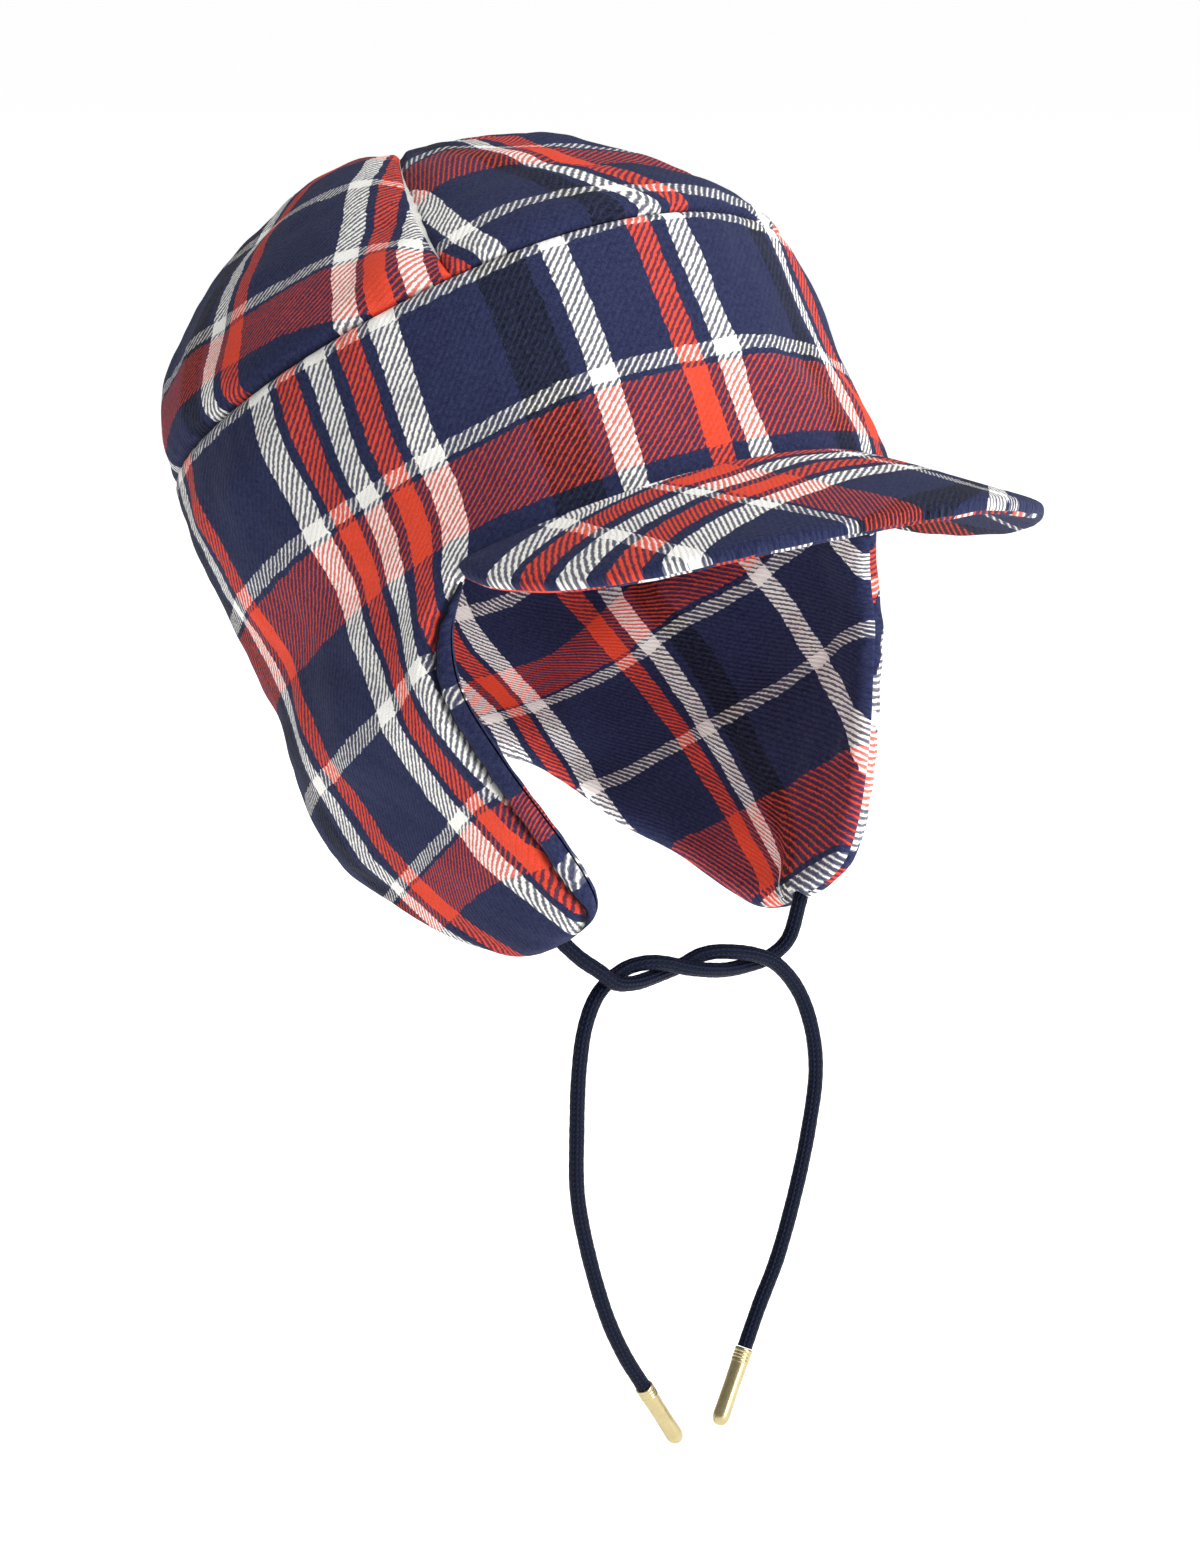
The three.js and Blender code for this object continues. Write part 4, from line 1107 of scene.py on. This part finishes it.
def visor_rows(top):
    """(length from the seam as a share, height above the middle) rows of one cover, rolled at the rim."""
    out_k, out_h = [], []
    Hh = np.minimum(HV, 0.35 + len_v * 0.22)
    inner_ = np.linspace(0, 1, 44)
    for q_ in inner_:
        out_k.append((-2.2 + (len_v - Hh + 2.2) * q_) / len_v)
        puff = 0.55 * np.sin(np.pi * np.clip(q_, 0, 1)) ** 0.6
        out_h.append(Hh + puff * np.minimum(1, len_v / 12))
    if top:
        for an in np.linspace(0, 1, 15)[1:]:
            ang = an * (math.pi / 2 + 0.62)
            out_k.append((len_v - Hh + Hh * math.sin(ang)) / len_v)
            out_h.append(Hh * math.cos(ang) - (0.35 * step(np.array(an), 0.85, 1.0)) * -1)
    else:
        for an in np.linspace(0, 1, 7)[1:]:
            ang = an * (math.pi / 2 - 0.62)
            out_k.append((len_v - Hh + Hh * math.sin(ang)) / len_v)
            out_h.append(Hh * math.cos(ang) - 0.35 * float(step(np.array(an), 0.6, 1.0)))
    return np.stack(out_k, 1), np.stack(out_h, 1)


for name, top, node in (("visor_top_cloth", True, "visor_top_cover"), ("visor_under_cloth", False, "visor_under_cover")):
    K_, H_ = visor_rows(top)
    TA = np.broadcast_to(tau[:, None], K_.shape)
    P0 = visor(TA, K_)
    N0 = visor_normal(TA, np.clip(K_, 0.1, 0.9))
    N0 = N0 * np.sign(N0[..., 2:3])
    rim_d = (1 - K_) * len_v[:, None]
    ripple = 0.24 * folds_mid(P0 * 1.1) + 0.10 * np.sin(TA * 60 + 3 * folds_wide(P0)) * np.exp(-np.abs(rim_d) / 6)
    P = P0 + N0 * ((H_ if top else -H_) + ripple * step(K_, 0.0, 0.15) * np.minimum(1, len_v / 15)[:, None])[..., None]
    uvv = visor_uv(P0) if top else np.stack([P0[..., 0] * 1.02 + 190, P0[..., 1] * 1.1 + 3], -1)
    if top:  # past the rim the cloth goes on round to the underside
        pass
    F = grid_faces(NT, K_.shape[1])
    V = world(P.reshape(-1, 3))
    if top:
        F = F[:, ::-1]
    n_ = vertex_normals(V, F)
    # outward: the top cover looks up
    midv = (NT // 2) * K_.shape[1] + 20
    if (n_[midv][2] > 0) != top:
        F = F[:, ::-1]
    o = mesh_object(name, V, F, uvv.reshape(-1, 2))
    dress(o, M_OUT, "root", [node])

# ---- CAD nodes that stay -----------------------------------------------------------------------------------
for node, mat in (("visor_board", M_BOARD), ("right_cord_bartack", M_THREAD), ("left_cord_bartack", M_THREAD)):
    o = frame["nodes"][node]
    if o.material_slots:
        for s_ in o.material_slots:
            s_.material = mat
    else:
        o.data.materials.append(mat)

# ---- floor, backdrop and light -----------------------------------------------------------------------------
low_z = cad_low_high[0][2]


def plain(name, col, rough):
    k = Nodes(name)
    P = coords(k, 1)
    f = k.noise(P, 3.0, 2)
    k.link(k.ramp(f, [(0.3, col), (0.7, tuple(min(1, c * 1.01) for c in col[:3]) + (1,))], "LINEAR"), k.b.inputs["Base Color"])
    k.b.inputs["Roughness"].default_value = rough
    return k.m


me = bpy.data.meshes.new("floor")
Rf = 20.0
me.from_pydata([(-Rf, -Rf, 0), (Rf, -Rf, 0), (Rf, Rf, 0), (-Rf, Rf, 0)], [], [(0, 1, 2, 3)])
floor = bpy.data.objects.new("floor", me)
bpy.context.scene.collection.objects.link(floor)
floor.location = (0, 0, low_z - 0.004)
floor_mat = plain("floor_pale", (0.93, 0.93, 0.93, 1), 0.9)
fb = next(n_ for n_ in floor_mat.node_tree.nodes if n_.type == "BSDF_PRINCIPLED")
fb.inputs["Emission Color"].default_value = (1, 1, 1, 1)
fb.inputs["Emission Strength"].default_value = 0.7
me.materials.append(floor_mat)

w = bpy.data.worlds.new("studio")
bpy.context.scene.world = w
w.use_nodes = True
wt = w.node_tree
bg = wt.nodes["Background"]
bg.inputs[0].default_value = (1, 1, 1, 1)
bg.inputs[1].default_value = 0.3
pale = wt.nodes.new("ShaderNodeBackground")
pale.inputs[0].default_value = (1, 1, 1, 1)
pale.inputs[1].default_value = 1.0
ray, mx = wt.nodes.new("ShaderNodeLightPath"), wt.nodes.new("ShaderNodeMixShader")
wt.links.new(ray.outputs["Is Camera Ray"], mx.inputs[0])
wt.links.new(bg.outputs[0], mx.inputs[1])
wt.links.new(pale.outputs[0], mx.inputs[2])
wt.links.new(mx.outputs[0], wt.nodes["World Output"].inputs[0])


def area(name, pos, size, power, target=(0, 0, 0)):
    L = bpy.data.lights.new(name, "AREA")
    L.shape, L.size, L.energy = "DISK", size, power
    o_ = bpy.data.objects.new(name, L)
    bpy.context.scene.collection.objects.link(o_)
    o_.location = pos
    o_.rotation_euler = (Vector(target) - Vector(pos)).to_track_quat("-Z", "Y").to_euler()
    return o_


area("key", (0.5, -1.5, 1.25), 1.1, 31)
area("top", (0.1, 0.1, 1.9), 1.5, 14)
area("front_low", (0.2, -1.6, -0.18), 0.6, 17)

bpy.context.scene.view_settings.view_transform = "Standard"
bpy.context.scene.view_settings.look = "None"
